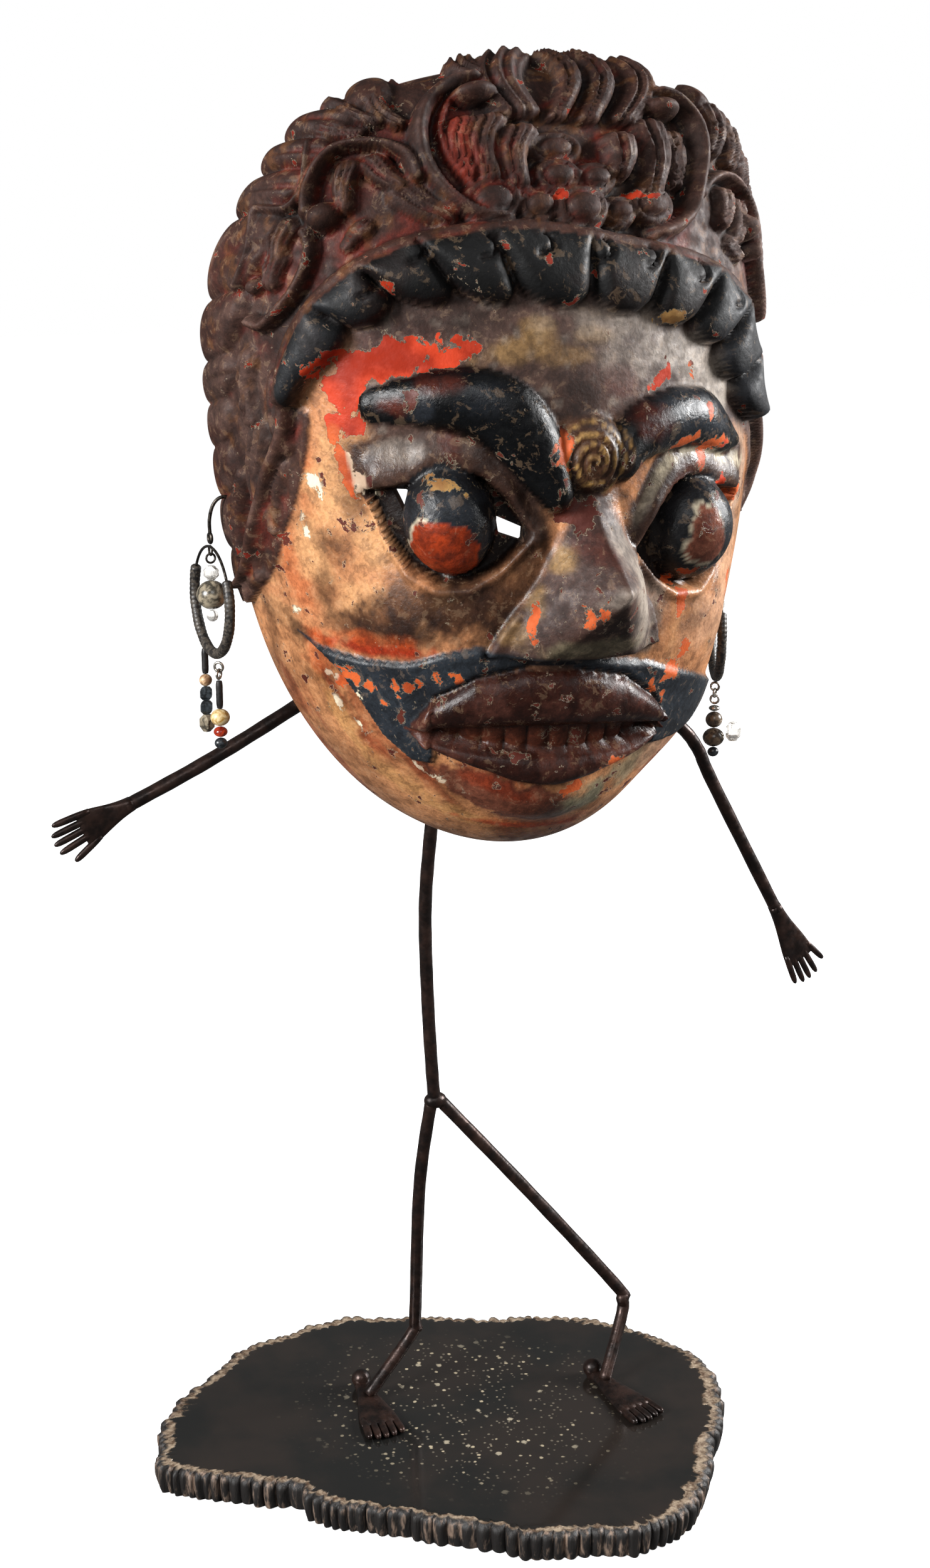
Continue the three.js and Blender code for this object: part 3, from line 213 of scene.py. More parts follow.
# Small hooked notches at the top of the curls
NOTCHES = [
    (-69, 75), (-52, 84), (-31, 82), (-14, 82), (4, 79), (20, 77), (40, 73), (59, 66),
]
LOCKS = [
    (-108, 46, -112, 24, 6, 5), (-122, 58, -126, 34, 5, 5), (-124, 26, -130, 2, 6, 5),
    (-137, 10, -146, -28, 4.5, 5.5), (-128, -4, -139, -34, 5, 4.5), (-116, 14, -124, -12, 3.5, 4),
    (-138, -36, -150, -56, 4, 5), (108, 40, 112, 18, 6, 5), (122, 52, 126, 28, 5, 5),
    (124, 20, 130, -4, 6, 5), (137, 4, 146, -34, 4.5, 5.5), (128, -10, 139, -38, 5, 4.5),
    (116, 8, 124, -16, 3.5, 4), (138, -40, 150, -58, 4, 5),
]
BROWS = [
    [(-74, 35, 6), (-62, 36, 7.6), (-48, 35.5, 9.8), (-37, 33.5, 11.5), (-29, 28.5, 12.2), (-23, 21, 11.2),
     (-18, 13, 9), (-15, 7, 6.5)],
    [(72, 18, 3), (63, 21, 7), (51, 25.5, 9.3), (38, 26.5, 9.6), (26, 25, 9.4), (16, 21.5, 8.8), (10, 15, 7)],
]
EYES = [
    dict(x=-53.5, z=-2.5,
         top=[(-84, 8), (-74, 9.5), (-65, 11), (-59, 14), (-49, 15.5), (-40, 12.5), (-32, 6), (-23, -6)],
         low=[(-84, 8), (-77, -9), (-69, -20), (-58, -25), (-46, -24), (-35, -18), (-23, -7)]),
    dict(x=51, z=-10.5,
         top=[(18, -13), (27, -1), (35, 6), (44, 9), (53, 8), (60, 5), (69, 3), (79, 1)],
         low=[(18, -14), (30, -25), (41, -31), (53, -32), (63, -27), (72, -16), (79, 1)]),
]
BALL_HALF = (17.2, 18.8)
EYE_DEPTH = 7
BALL_HIGH = 12
LIP_TOP = [(-70, -84), (-60, -68), (-44, -57), (-25, -52), (-7, -52.5), (17, -58), (34, -70), (44, -82)]
LIP_OVER = [(-70, -84), (-51, -79), (-28, -75.5), (-4, -75.5), (22, -78.5), (44, -84)]
LIP_UNDER = [(-70, -85), (-43, -87.5), (-19, -88.5), (8, -88.5), (29, -87), (44, -84)]
LIP_LOW = [(-70, -85), (-57, -92), (-42, -97), (-27, -100.5), (-10, -101.5), (7, -99.5), (27, -93.5),
           (44, -84)]
TOOTH_WIDTH = 9.5
MOUSTACHE_TOP = [
    (-120, -57), (-110, -59.5), (-86, -57.5), (-70, -54), (-56, -47.5), (-44, -44.5), (-35, -46), (-6, -47),
    (29, -54), (58, -66), (80, -77), (92, -84),
]
MOUSTACHE_LEFT = [(-120, -58), (-107, -63), (-98, -69), (-90, -79), (-80, -94), (-68, -103), (-57, -101)]
MOUSTACHE_RIGHT = [(36, -94), (45, -97), (56, -98), (68, -96), (80, -88), (92, -86)]
MOUSTACHE_TURNS = (-60, 40)
MOUSTACHE_TIPS = (-120, 92)


def moustache(x, z):
    low = level(LIP_TOP, x)
    low = np.where(x < MOUSTACHE_TURNS[0], level(MOUSTACHE_LEFT, x), low)
    low = np.where(x > MOUSTACHE_TURNS[1], level(MOUSTACHE_RIGHT, x), low)
    inside = np.minimum(level(MOUSTACHE_TOP, x) - z, z - low)
    return np.minimum(inside, np.minimum(x - MOUSTACHE_TIPS[0], MOUSTACHE_TIPS[1] - x))


def mouth(x, z, part):
    top, over, under, low = (level(line, x) for line in (LIP_TOP, LIP_OVER, LIP_UNDER, LIP_LOW))
    fade = smooth(-71, -60, x) * smooth(46, 36, x)
    upper = 7.2 * dome(2 * (z - over) / np.maximum(top - over, 0.5) - 1, 0.55)
    lower = 5.6 * dome(2 * (z - low) / np.maximum(under - low, 0.5) - 1, 0.55)
    teeth = 1.8 * np.sqrt(np.abs(np.sin((x + 13) / TOOTH_WIDTH * PI))) - 4.2
    inside = (z <= top) & (z >= low) & (fade > 0)
    h = np.where(z >= over, upper, np.where(z <= under, lower, teeth)) * fade
    part["lip"] = (inside & ((z >= over) | (z <= under))).astype(float) * smooth(0, 0.25, fade)
    part["teeth"] = (inside & (z < over) & (z > under)).astype(float)
    part["tooth_rise"] = teeth
    return np.where(inside, h, 0)


def nose(x, z):
    zc = np.clip(z, -47, 8)
    ridge = level([(-47, 19), (-35, 26), (-22, 31), (-15, 23), (-9, 14), (-4, 8.5), (2, 4), (8, 2)], zc)
    under = level([(-47, 10), (-22, 31)], zc)
    half = level([(-47, 37), (-40, 34), (-30, 27.5), (-20, 21), (-8, 14.5), (0, 12), (8, 11)], zc)
    q = np.abs(x - level([(-47, -4.5), (-22, 0), (0, -1)], zc)) / half
    section = np.minimum(ridge * np.where(q < 1, 0.95 * (1 - q) + 0.05 * dome(q, 0.6), 0), under)
    wings = 4.5 * smooth(1.0, 0.93, q) * smooth(-24, -34, z)
    return np.maximum(section, wings) * smooth(-49, -47, z) * smooth(17, 3, z)


def eye(shape, x, z, ground, part):
    upper, lower = level(shape["top"], x), level(shape["low"], x)
    inward = np.minimum(x - shape["top"][0][0], shape["top"][-1][0] - x)
    inside = np.minimum(np.minimum(upper - z, z - lower), inward * 0.9)
    middle = (upper + lower) / 2
    lid = np.where(z >= middle - 2, 5.2 * smooth(-15, -1.5, inside) * smooth(-5, 8, inward), 0)
    rim = np.where(z < middle + 2, 2.6 * dome((inside + 2.5) / 4.5, 1) * smooth(-5, 0, inside), 0)
    h = mix(ground + np.maximum(lid, rim), -EYE_DEPTH, smooth(0, 2.4, inside))
    q = np.hypot((x - shape["x"]) / BALL_HALF[0], (z - shape["z"]) / BALL_HALF[1])
    part["ball"] = np.maximum(part["ball"], (q < 1).astype(float))
    part["gap"] = np.maximum(part["gap"], smooth(0, 2, inside))
    on_lid = np.where(z >= middle - 2, smooth(-17, -14, inside) * smooth(-8, 0, inward), 0)
    part["lid"] = np.maximum(part["lid"], on_lid)
    part["lid_edge"] = np.maximum(part["lid_edge"], on_lid * dome((inside + 9) / 3.5, 1))
    return np.where(q < 1, np.maximum(h, (BALL_HIGH + EYE_DEPTH) * dome(q) - EYE_DEPTH), h)


# Both cheeks, the chin and the forehead: place, half width, half height, how far they swell
SWELLS = [(-62, -42, 34, 26, 3.5), (55, -48, 34, 26, 3.5), (-14, -112, 34, 22, 5), (0, 48, 60, 30, 2.5)]
BROW_HEIGHT = 8.5
KNOT_AT = (-3, 15)
COIL_STEP = 3.3


def face(x, z, part):
    h = sum(high * dome(np.hypot((x - cx) / half_x, (z - cz) / half_z), 1.5)
            for cx, cz, half_x, half_z, high in SWELLS)
    part["moustache"] = moustache(x, z)
    h += 2.4 * smooth(0, 2.2, part["moustache"]) + mouth(x, z, part)
    n = nose(x, z)
    part["nose"] = n
    h = np.where(n > 0, 0.3 * np.maximum(h, 0) + n, h)
    for shape in EYES:
        h -= 4.5 * dome(np.hypot((x - shape["x"]) / 38, (z - shape["z"] - 6) / 30), 1.2)
    for shape in EYES:
        h = eye(shape, x, z, h, part)
    for line in BROWS:
        q, _ = reach(spline(line), x, z)
        fade = mix(0.3, 1, smooth(0, 28, np.abs(x - line[0][0])))
        h = np.where(q < 1, np.maximum(h, BROW_HEIGHT * fade * dome(q, 0.55)), h)
        part["brow"] = np.maximum(part["brow"], smooth(1.02, 0.96, q))
    q = np.hypot((x + 1) / 13, (z - 17) / 12)
    turn = np.arctan2(z - KNOT_AT[1], x - KNOT_AT[0])
    ring = np.hypot(x - KNOT_AT[0], z - KNOT_AT[1])
    coil = np.sin((ring / COIL_STEP - turn / (2 * PI)) * 2 * PI)
    knot = 8.5 * dome(q, 0.45) + 0.9 * coil * smooth(12, 9, ring)
    part["knot"] = smooth(1.0, 0.9, q)
    part["coil"] = smooth(0.45, 0.8, coil) * smooth(1.0, 0.85, q)
    return np.where(q < 1, np.maximum(h, knot), h)


def leaf_height(leaf, x, z):
    """A bowed leaf, narrower to its tip, with fine flutes and one deeper groove beside the middle."""
    ax, az, bx, bz, half, high = leaf
    dx, dz = bx - ax, bz - az
    length = math.hypot(dx, dz)
    k = np.clip(((x - ax) * dx + (z - az) * dz) / length ** 2, 0, 1)
    bow = 0.09 * length * np.sin(k * PI) * np.sign(ax)
    half = half * (1.12 - 0.34 * k)
    q = np.hypot(x - ax - k * dx - bow, z - az - k * dz) / half
    side = ((x - ax - bow) * dz - (z - az) * dx) / length / half
    flutes = 0.7 * np.cos(side * 4.6 * PI) * smooth(1, 0.6, q)
    return np.where(q < 1, high * dome(q, 0.42) - 1.4 * dome((side - 0.25) / 0.2, 1) + flutes, 0)


def crown(x, z, angle):
    far = np.hypot(x / UNITS_ACROSS, z / UNITS_UP)
    lean = np.where(angle < -20, 26, -6) * (far - 0.9)
    place, number, _ = in_cell(PETAL_BORDERS, angle + lean)
    wobble = chance(number, number * 0, 5)
    start = level(RIM_START, angle)
    rim = smooth(start, start + 0.05, far + 0.03 * (wobble - 0.5) - 0.03 * place ** 2)
    groove = np.where(wobble > 0.45, 1.2 * dome(place / 0.2, 1), 0) * smooth(0.99, 0.93, far)
    flat = smooth(50, 75, np.abs(angle))
    h = rim * (mix(5.6, 3.0, flat) * dome(0.98 * place, 0.45) + 0.8 - groove)
    h += 0.35 * np.sin(x * 1.1 + 0.8 * np.sin(z * 0.2)) * (1 - rim)
    for line, half_width, high in STEMS:
        rows = [(*p, half_width) for p in line]
        q, _ = reach(spline(rows), x, z)
        h = np.maximum(h, high * dome(q, 0.5) - 0.8 * dome((q - 0.5) / 0.16, 1))
    for leaf in LEAVES + LOCKS:
        h = np.maximum(h, leaf_height(leaf, x, z))
    for cx, cz, radius, high in ROSETTES:
        q = np.hypot(x - cx, z - cz) / radius
        h = np.where(q < 1, np.maximum(h, high * dome(q, 0.42) - 2.2 * dome((q - 0.58) / 0.14, 1)), h)
    for cx, cz, radius, high in KNOBS:
        q = np.hypot(x - cx, z - cz) / radius
        h = np.maximum(h, high * dome(q))
    return h


# The hairline, band and curls are drawn around a place below the eyes' middle, by angle from straight up
HAIR_CENTRE = -10
HAIR_ENDS = 108
CURL_DIP = 6
CURL_HEIGHT = 9.5
FULL_CHEEK = 5.5


def carving(x, z):
    """Height of the finished carving over the base form, and what each place belongs to."""
    part = {name: np.zeros(x.shape) for name in ("ball", "gap", "lid", "lid_edge", "brow")}
    bare = face(x, z, part)
    angle = np.degrees(np.arctan2(x, z - HAIR_CENTRE))
    far = np.hypot(x, z - HAIR_CENTRE)
    hair, band = border(HAIRLINE, angle), border(BAND_LINE, angle)
    width = np.maximum(band - hair, 1)
    out = np.where(np.abs(angle) > HAIR_ENDS, -1, far - hair)
    fringe = (angle > CURL_BORDERS[0]) & (angle < CURL_BORDERS[-1])
    curl, _, half = in_cell(CURL_BORDERS, angle)
    out = np.where(fringe, out - CURL_DIP * np.abs(curl) ** 2.5, out)
    scrolls = crown(x, z, angle)
    high = scrolls * smooth(1, 3.5, far - band)
    rise = out / width
    gap = np.clip((1 - np.abs(curl)) * half * PI / 180 * far / 5.5, 0, 1)
    lobe = mix(np.sqrt(1 - (1 - gap) ** 2), 1, 0.85 * smooth(0.3, 0.8, rise))
    body = 1.5 + CURL_HEIGHT * dome(0.98 * (np.clip(rise, 0, 1) * 2 - 1), 0.4) * lobe
    for cx, cz in NOTCHES:
        ring = np.hypot(x - cx, z - cz)
        hook = smooth(-0.4, 0.4, (x - cx) - 0.4 * (z - cz))
        body -= 2.6 * dome((ring - 4) / 1.1, 1) * hook
    locks = 1 + 0.6 * scrolls
    locks += 0.5 * np.sin(far * 0.9 + 2.5 * np.sin(angle * 0.11)) * smooth(0, 4, out)
    h = np.where(far > band, high, np.where(fringe, body, locks))
    bead = 1 + 6 * dome((far - band) / 3.2, 0.55)
    h = np.maximum(h, bead)
    part["out"] = out
    part["beyond"] = far - band
    part["fringe"] = (fringe & (far <= band - 2.5) & (out > 0)).astype(float)
    h = np.where(out <= 0, bare, mix(bare, h, smooth(0, 1.3, out)))
    full = smooth(35, 80, x) * smooth(165, 120, x) * smooth(-135, -95, z) * smooth(45, 5, z)
    return h + FULL_CHEEK * full, part


# The base form that the carving sits on
UNIT = MASK_HEIGHT / 301
FACE_HALF, EAR_FLARE, CROWN_FLARE, CROWN_SQUARE, FACE_DEPTH, CROWN_DROP = (
    v * UNIT for v in (101, 4, 56, 24, 107, 156))
CHIN_DROP = MASK_HEIGHT - CROWN_DROP


def base_form(s, t):
    r = np.hypot(s, t)
    k = np.where(r > 1e-9, np.sin(r * PI / 2) / np.maximum(r, 1e-9), PI / 2)
    across, up, ahead = s * k, t * k, np.cos(r * PI / 2)
    square = up * up
    half = FACE_HALF + EAR_FLARE * smooth(-0.35, 0.1, up) + CROWN_FLARE * np.maximum(up, 0) ** 1.4
    half = half + CROWN_SQUARE * smooth(0.7, 1, up)
    depth = FACE_DEPTH * np.where(up > 0, 1 - 0.56 * square, 1 + 0.1 * square)
    lean = np.where(up > 0, 58, 28) * UNIT * square - 3 * UNIT
    rise = np.where(up > 0, CROWN_DROP, CHIN_DROP) * up
    return np.stack([across * half, -lean - depth * ahead, rise], -1) + np.array(MASK_AT)


def mask_point(s, t, height):
    step = 1e-4
    along_s = base_form(s + step, t) - base_form(s - step, t)
    along_t = base_form(s, t + step) - base_form(s, t - step)
    normal = np.cross(along_s, along_t)
    normal /= np.linalg.norm(normal, axis=-1, keepdims=True)
    return base_form(s, t) + normal * np.asarray(height)[..., None]


def softened(grid, passes):
    for _ in range(passes):
        wide = np.pad(grid, 1, mode="edge")
        grid = (wide[:-2, 1:-1] + wide[2:, 1:-1] + wide[1:-1, :-2] + wide[1:-1, 2:] + 4 * grid) / 8
    return grid


# Slits beside each eyeball, cut through the wood, as corners in carving units
SLITS = [
    [(-75, 7), (-67, 7), (-70.5, -2)],
    [(-36, -1), (-25.5, -5), (-26, -9.5), (-35, -7)],
    [(29, -6), (29, -13), (21, -13.5), (21, -11)],
    [(69, 1), (62, 0), (65, -9)],
]


def within(corners, x, z):
    signs = []
    for (ax, az), (bx, bz) in zip(corners, corners[1:] + corners[:1]):
        signs.append((bx - ax) * (z - az) - (bz - az) * (x - ax) > 0)
    return np.all(signs, 0) | ~np.any(signs, 0)


def snapped(corners, x, z):
    """The nearest place on the slit's outline."""
    best, place = np.full(x.shape, 1e9), np.stack([x, z], -1)
    for (ax, az), (bx, bz) in zip(corners, corners[1:] + corners[:1]):
        k, gone = share_along(ax, az, bx, bz, x, z)
        place = np.where((gone < best)[..., None], np.stack([mix(ax, bx, k), mix(az, bz, k)], -1), place)
        best = np.minimum(best, gone)
    return place[..., 0], place[..., 1]


# Paint of the mask. Each colour is what that paint or bare wood gives the eye; the hollow and socket tones
# are painted shade.
PAINTS = {name: np.array(linear(code)[:3]) for name, code in {
    "crown": "#3a221b", "crown_grey": "#685047", "crown_red": "#7c2616", "crown_ochre": "#8a5a30",
    "hollow_shade": "#150c0a",
    "curl": "#0a0a0b", "curl_grey": "#2c2e32", "curl_brown": "#1a100e",
    "forehead": "#574139", "pale": "#a89c8f", "ochre": "#a8834e", "red": "#b8381a", "orange": "#c25a2c",
    "black": "#08090b", "slate": "#292d33", "rust": "#55261c", "cream": "#ddd0b4",
    "lid": "#4d382f", "socket_shade": "#1d1310", "ball": "#1f2023", "ball_red": "#a33a1a", "ball_pink": "#85503f",
    "cheek": "#c0845a", "cheek_pale": "#d09c6c", "smoke": "#60402c", "dark": "#2c1b15", "peach": "#deac88",
    "nose": "#4a342d", "moustache": "#2b3036", "lip": "#2f1610", "lip_pale": "#5f382e", "tooth": "#5e3021",
    "chin": "#70402f", "jaw": "#c4875a", "jaw_red": "#853219", "jaw_tan": "#c4905a", "olive": "#8b8468",
    "side_wood": "#43281f",
}.items()}
# Soft blotches: colour, strength, x, z, half width, half height, and a turn in degrees if it has one
BLOTCHES = [
    ("orange", 0.55, -106, 12, 7, 22, 12), ("orange", 0.5, -116, -30, 7, 24, 12),
    ("cheek_pale", 0.8, -99, 5, 10, 16, 10), ("cheek_pale", 0.7, -90, 19, 8, 8),
    ("cheek_pale", 0.8, -107, -19, 9, 14, 10), ("cheek_pale", 0.8, -83, -10, 7, 13),
    ("cheek_pale", 0.7, -88, -32, 12, 9), ("smoke", 0.6, -88, 2, 7, 6, 30), ("smoke", 0.5, -97, -13, 8, 6),
    ("smoke", 0.5, -103, -33, 6, 9), ("smoke", 0.7, -94, -46, 14, 5, 5),
    ("smoke", 0.95, -76, -40, 15, 10, 15), ("dark", 0.85, -66, -41, 20, 8, 8),
    ("dark", 0.9, -52, -33, 24, 11), ("dark", 0.8, -40, -24, 12, 16), ("smoke", 0.8, -70, -26, 7, 10, 20),
    ("red", 0.95, -82, -52.5, 24, 3.6, 9), ("orange", 0.6, -86, -49, 20, 3, 9),
    ("dark", 0.5, -14, -46, 24, 5), ("smoke", 0.95, -27, -12, 11, 18, 15), ("dark", 0.8, -24, -2, 8, 10),
    ("nose", 0.8, 24, -30, 10, 24), ("pale", 0.5, 28, -36, 8, 16), ("dark", 0.7, 25, -18, 8, 14),
    ("peach", 0.8, 76, -20, 12, 30), ("peach", 0.7, 62, -46, 16, 14), ("smoke", 0.5, 52, -40, 8, 10),
    ("pale", 0.5, 84, 10, 8, 24), ("olive", 0.8, 36, -106, 16, 10, 20), ("peach", 0.7, 52, -104, 16, 10, 25),
    ("jaw_red", 0.8, -104, -82, 6, 14, 20), ("jaw_red", 0.75, -88, -104, 6, 16, 35),
    ("jaw_tan", 0.8, -99, -96, 5, 20, 28), ("jaw_tan", 0.7, -74, -122, 8, 20, 60),
    ("jaw_tan", 0.7, -46, -134, 14, 6, -10), ("jaw_red", 0.6, -60, -108, 12, 7, -30),
    ("orange", 0.6, -110, -64, 8, 10), ("dark", 0.7, -120, -58, 7, 5, -20),
    ("olive", 0.9, 9, -119, 13, 8, 15), ("red", 0.7, -12, -137, 30, 3), ("black", 0.95, -5, 4, 14, 5),
]
FOREHEAD_MARKS = [
    ("rust", 0.5, -60, 54, 16, 8), ("dark", 0.55, -48, 58, 22, 6), ("ochre", 0.55, -24, 50, 13, 4, 10),
    ("ochre", 0.5, -16, 56, 7, 3), ("ochre", 0.4, -8, 46, 9, 3), ("ochre", 0.45, 2, 53, 7, 3),
    ("dark", 0.6, -8, 33, 14, 8), ("pale", 0.55, 14, 58, 24, 7), ("pale", 0.75, 42, 46, 18, 9, -10),
    ("pale", 0.9, 62, 36, 12, 12), ("pale", 0.4, 18, 44, 14, 8), ("rust", 0.6, 12, 38, 8, 5),
]
CARVED_MARKS = {
    "lid": [("rust", 0.7, -50, 22, 4, 6), ("dark", 0.8, -33, 12, 12, 10, -40), ("pale", 0.4, -68, 20, 9, 4),
            ("rust", 0.5, 38, 6, 9, 5, 30), ("dark", 0.6, 24, -6, 7, 8, 40)],
    "brow": [("rust", 0.85, -66, 35, 8, 3.5), ("rust", 0.7, -51, 40, 7, 3), ("slate", 0.8, -58, 33, 5, 4),
             ("slate", 0.4, -36, 34, 9, 5), ("slate", 0.95, 36, 27, 16, 8),
             ("slate", 0.8, 52, 25, 12, 6, -10),
             ("rust", 0.7, 20, 26, 7, 5)],
    # on the nose, the pale mark at 15, -26 is a painted highlight on the right facet and the dark mark at 2,
    # -33 a painted shadow on the underside
    "nose": [("ochre", 0.6, -15, -14, 5, 4, 20), ("ochre", 0.6, -24, -27, 4, 6, 20),
    ("ochre", 0.4, -31, -38, 5, 5, 20),
             ("rust", 0.6, -4, -10, 6, 5), ("pale", 0.95, 15, -26, 9, 22, 15), ("dark", 0.9, 2, -33, 9, 7),
             ("olive", 0.5, -2, -43, 18, 4), ("pale", 0.5, -2, -24, 6, 3, 30)],
}
# Spots where the paint is gone down to another coat: colour, x, z, half width, half height, turn in degrees
SPOTS = [
    ("orange", -24.5, -33, 1.9, 5, -10), ("orange", -9, -30, 3.2, 1.8, 35), ("orange", 43, -32, 3, 6.5),
    ("orange", 48, -53, 3.6, 5, -20), ("orange", 42, -60, 5, 3, 30), ("orange", 46, 26, 1.5, 8, 14),
    ("orange", 51, 17.5, 6, 2), ("orange", 36, 19, 4, 1.6, 10), ("red", 26, 38, 6.5, 1.7, 18),
    ("red", 62, 6, 1.6, 6, 10), ("rust", -8, 0, 6, 3.2), ("orange", -13, 18, 2, 3.4),
    ("orange", -93, -68, 4.6, 2.4, -20), ("orange", -84, -69, 3, 2.6), ("orange", -79, -72, 2, 2.6),
    ("orange", -74, -67, 1.5, 2.2), ("orange", -69, -64.5, 1.8, 1.4), ("orange", -64, -62, 1.3, 1.6),
    ("orange", -58, -59, 1.3, 1.5), ("orange", -51, -55.5, 1.4, 1.2), ("orange", -99, -73, 3, 3.4, 30),
    ("cream", -104, -72, 1.6, 1.6), ("cream", -89, -75, 1.6, 1.6), ("cream", -100, -91, 1.0, 2.6, 20),
    ("cream", -92, -94, 1.2, 1.4), ("cream", -60, -110, 5, 0.9, -30), ("orange", 0, -105.5, 7, 2.6, 18),
    ("orange", 15, -93, 3.4, 1.5, 10), ("ochre", -51, 10.5, 4, 1.6, -10), ("orange", 34, -67, 3.6, 1.2, -40),
    ("rust", -60, 37, 3, 2), ("cream", -103, 8, 1.2, 3.6, 10), ("cream", -108, -10, 1.1, 3, 10),
    ("cream", -118, -52, 1.4, 3, 10), ("cream", -84, 12, 0.9, 4, 10), ("orange", 78, -2, 2, 4),
    ("orange", 83, -36, 3, 5), ("red", -6, 99, 1.6, 1, 10), ("red", -60, 74, 1.8, 1.4),
    ("red", 20, 100, 1.8, 1), ("ochre", 30, 57, 3.6, 2),
]
# The wide red loss at the temple, above the brow
LOSSES = [
    ("red", -66, 49.5, 28, 6, 4), ("red", -84, 42, 9, 7), ("red", -86, 31, 7, 5),
    ("orange", -89, 17, 3, 8, 12),
]
CHIN_MARKS = [
    ("olive", 0.9, 9, -117, 13, 9, 15), ("orange", 0.5, -6, -133, 26, 4),
    ("jaw_red", 0.8, -34, -106, 16, 5, -10),
]


def coats(colour, *rows):
    """Lays coats of paint over a colour, each a paint's name and how much of it there is."""
    for name, amount in rows:
        colour = mix(colour, PAINTS[name], np.clip(amount, 0, 1)[..., None])
    return colour


def blob(x, z, cx, cz, half_x, half_z, turn=0):
    c, s = math.cos(math.radians(turn)), math.sin(math.radians(turn))
    return np.hypot(((x - cx) * c + (z - cz) * s) / half_x, ((z - cz) * c - (x - cx) * s) / half_z)


def blotched(colour, rows, x, z, ragged, where):
    return coats(colour, *((name, where * strength * smooth(1.35, 0.5, blob(x, z, *shape) + ragged))
                           for name, strength, *shape in rows))


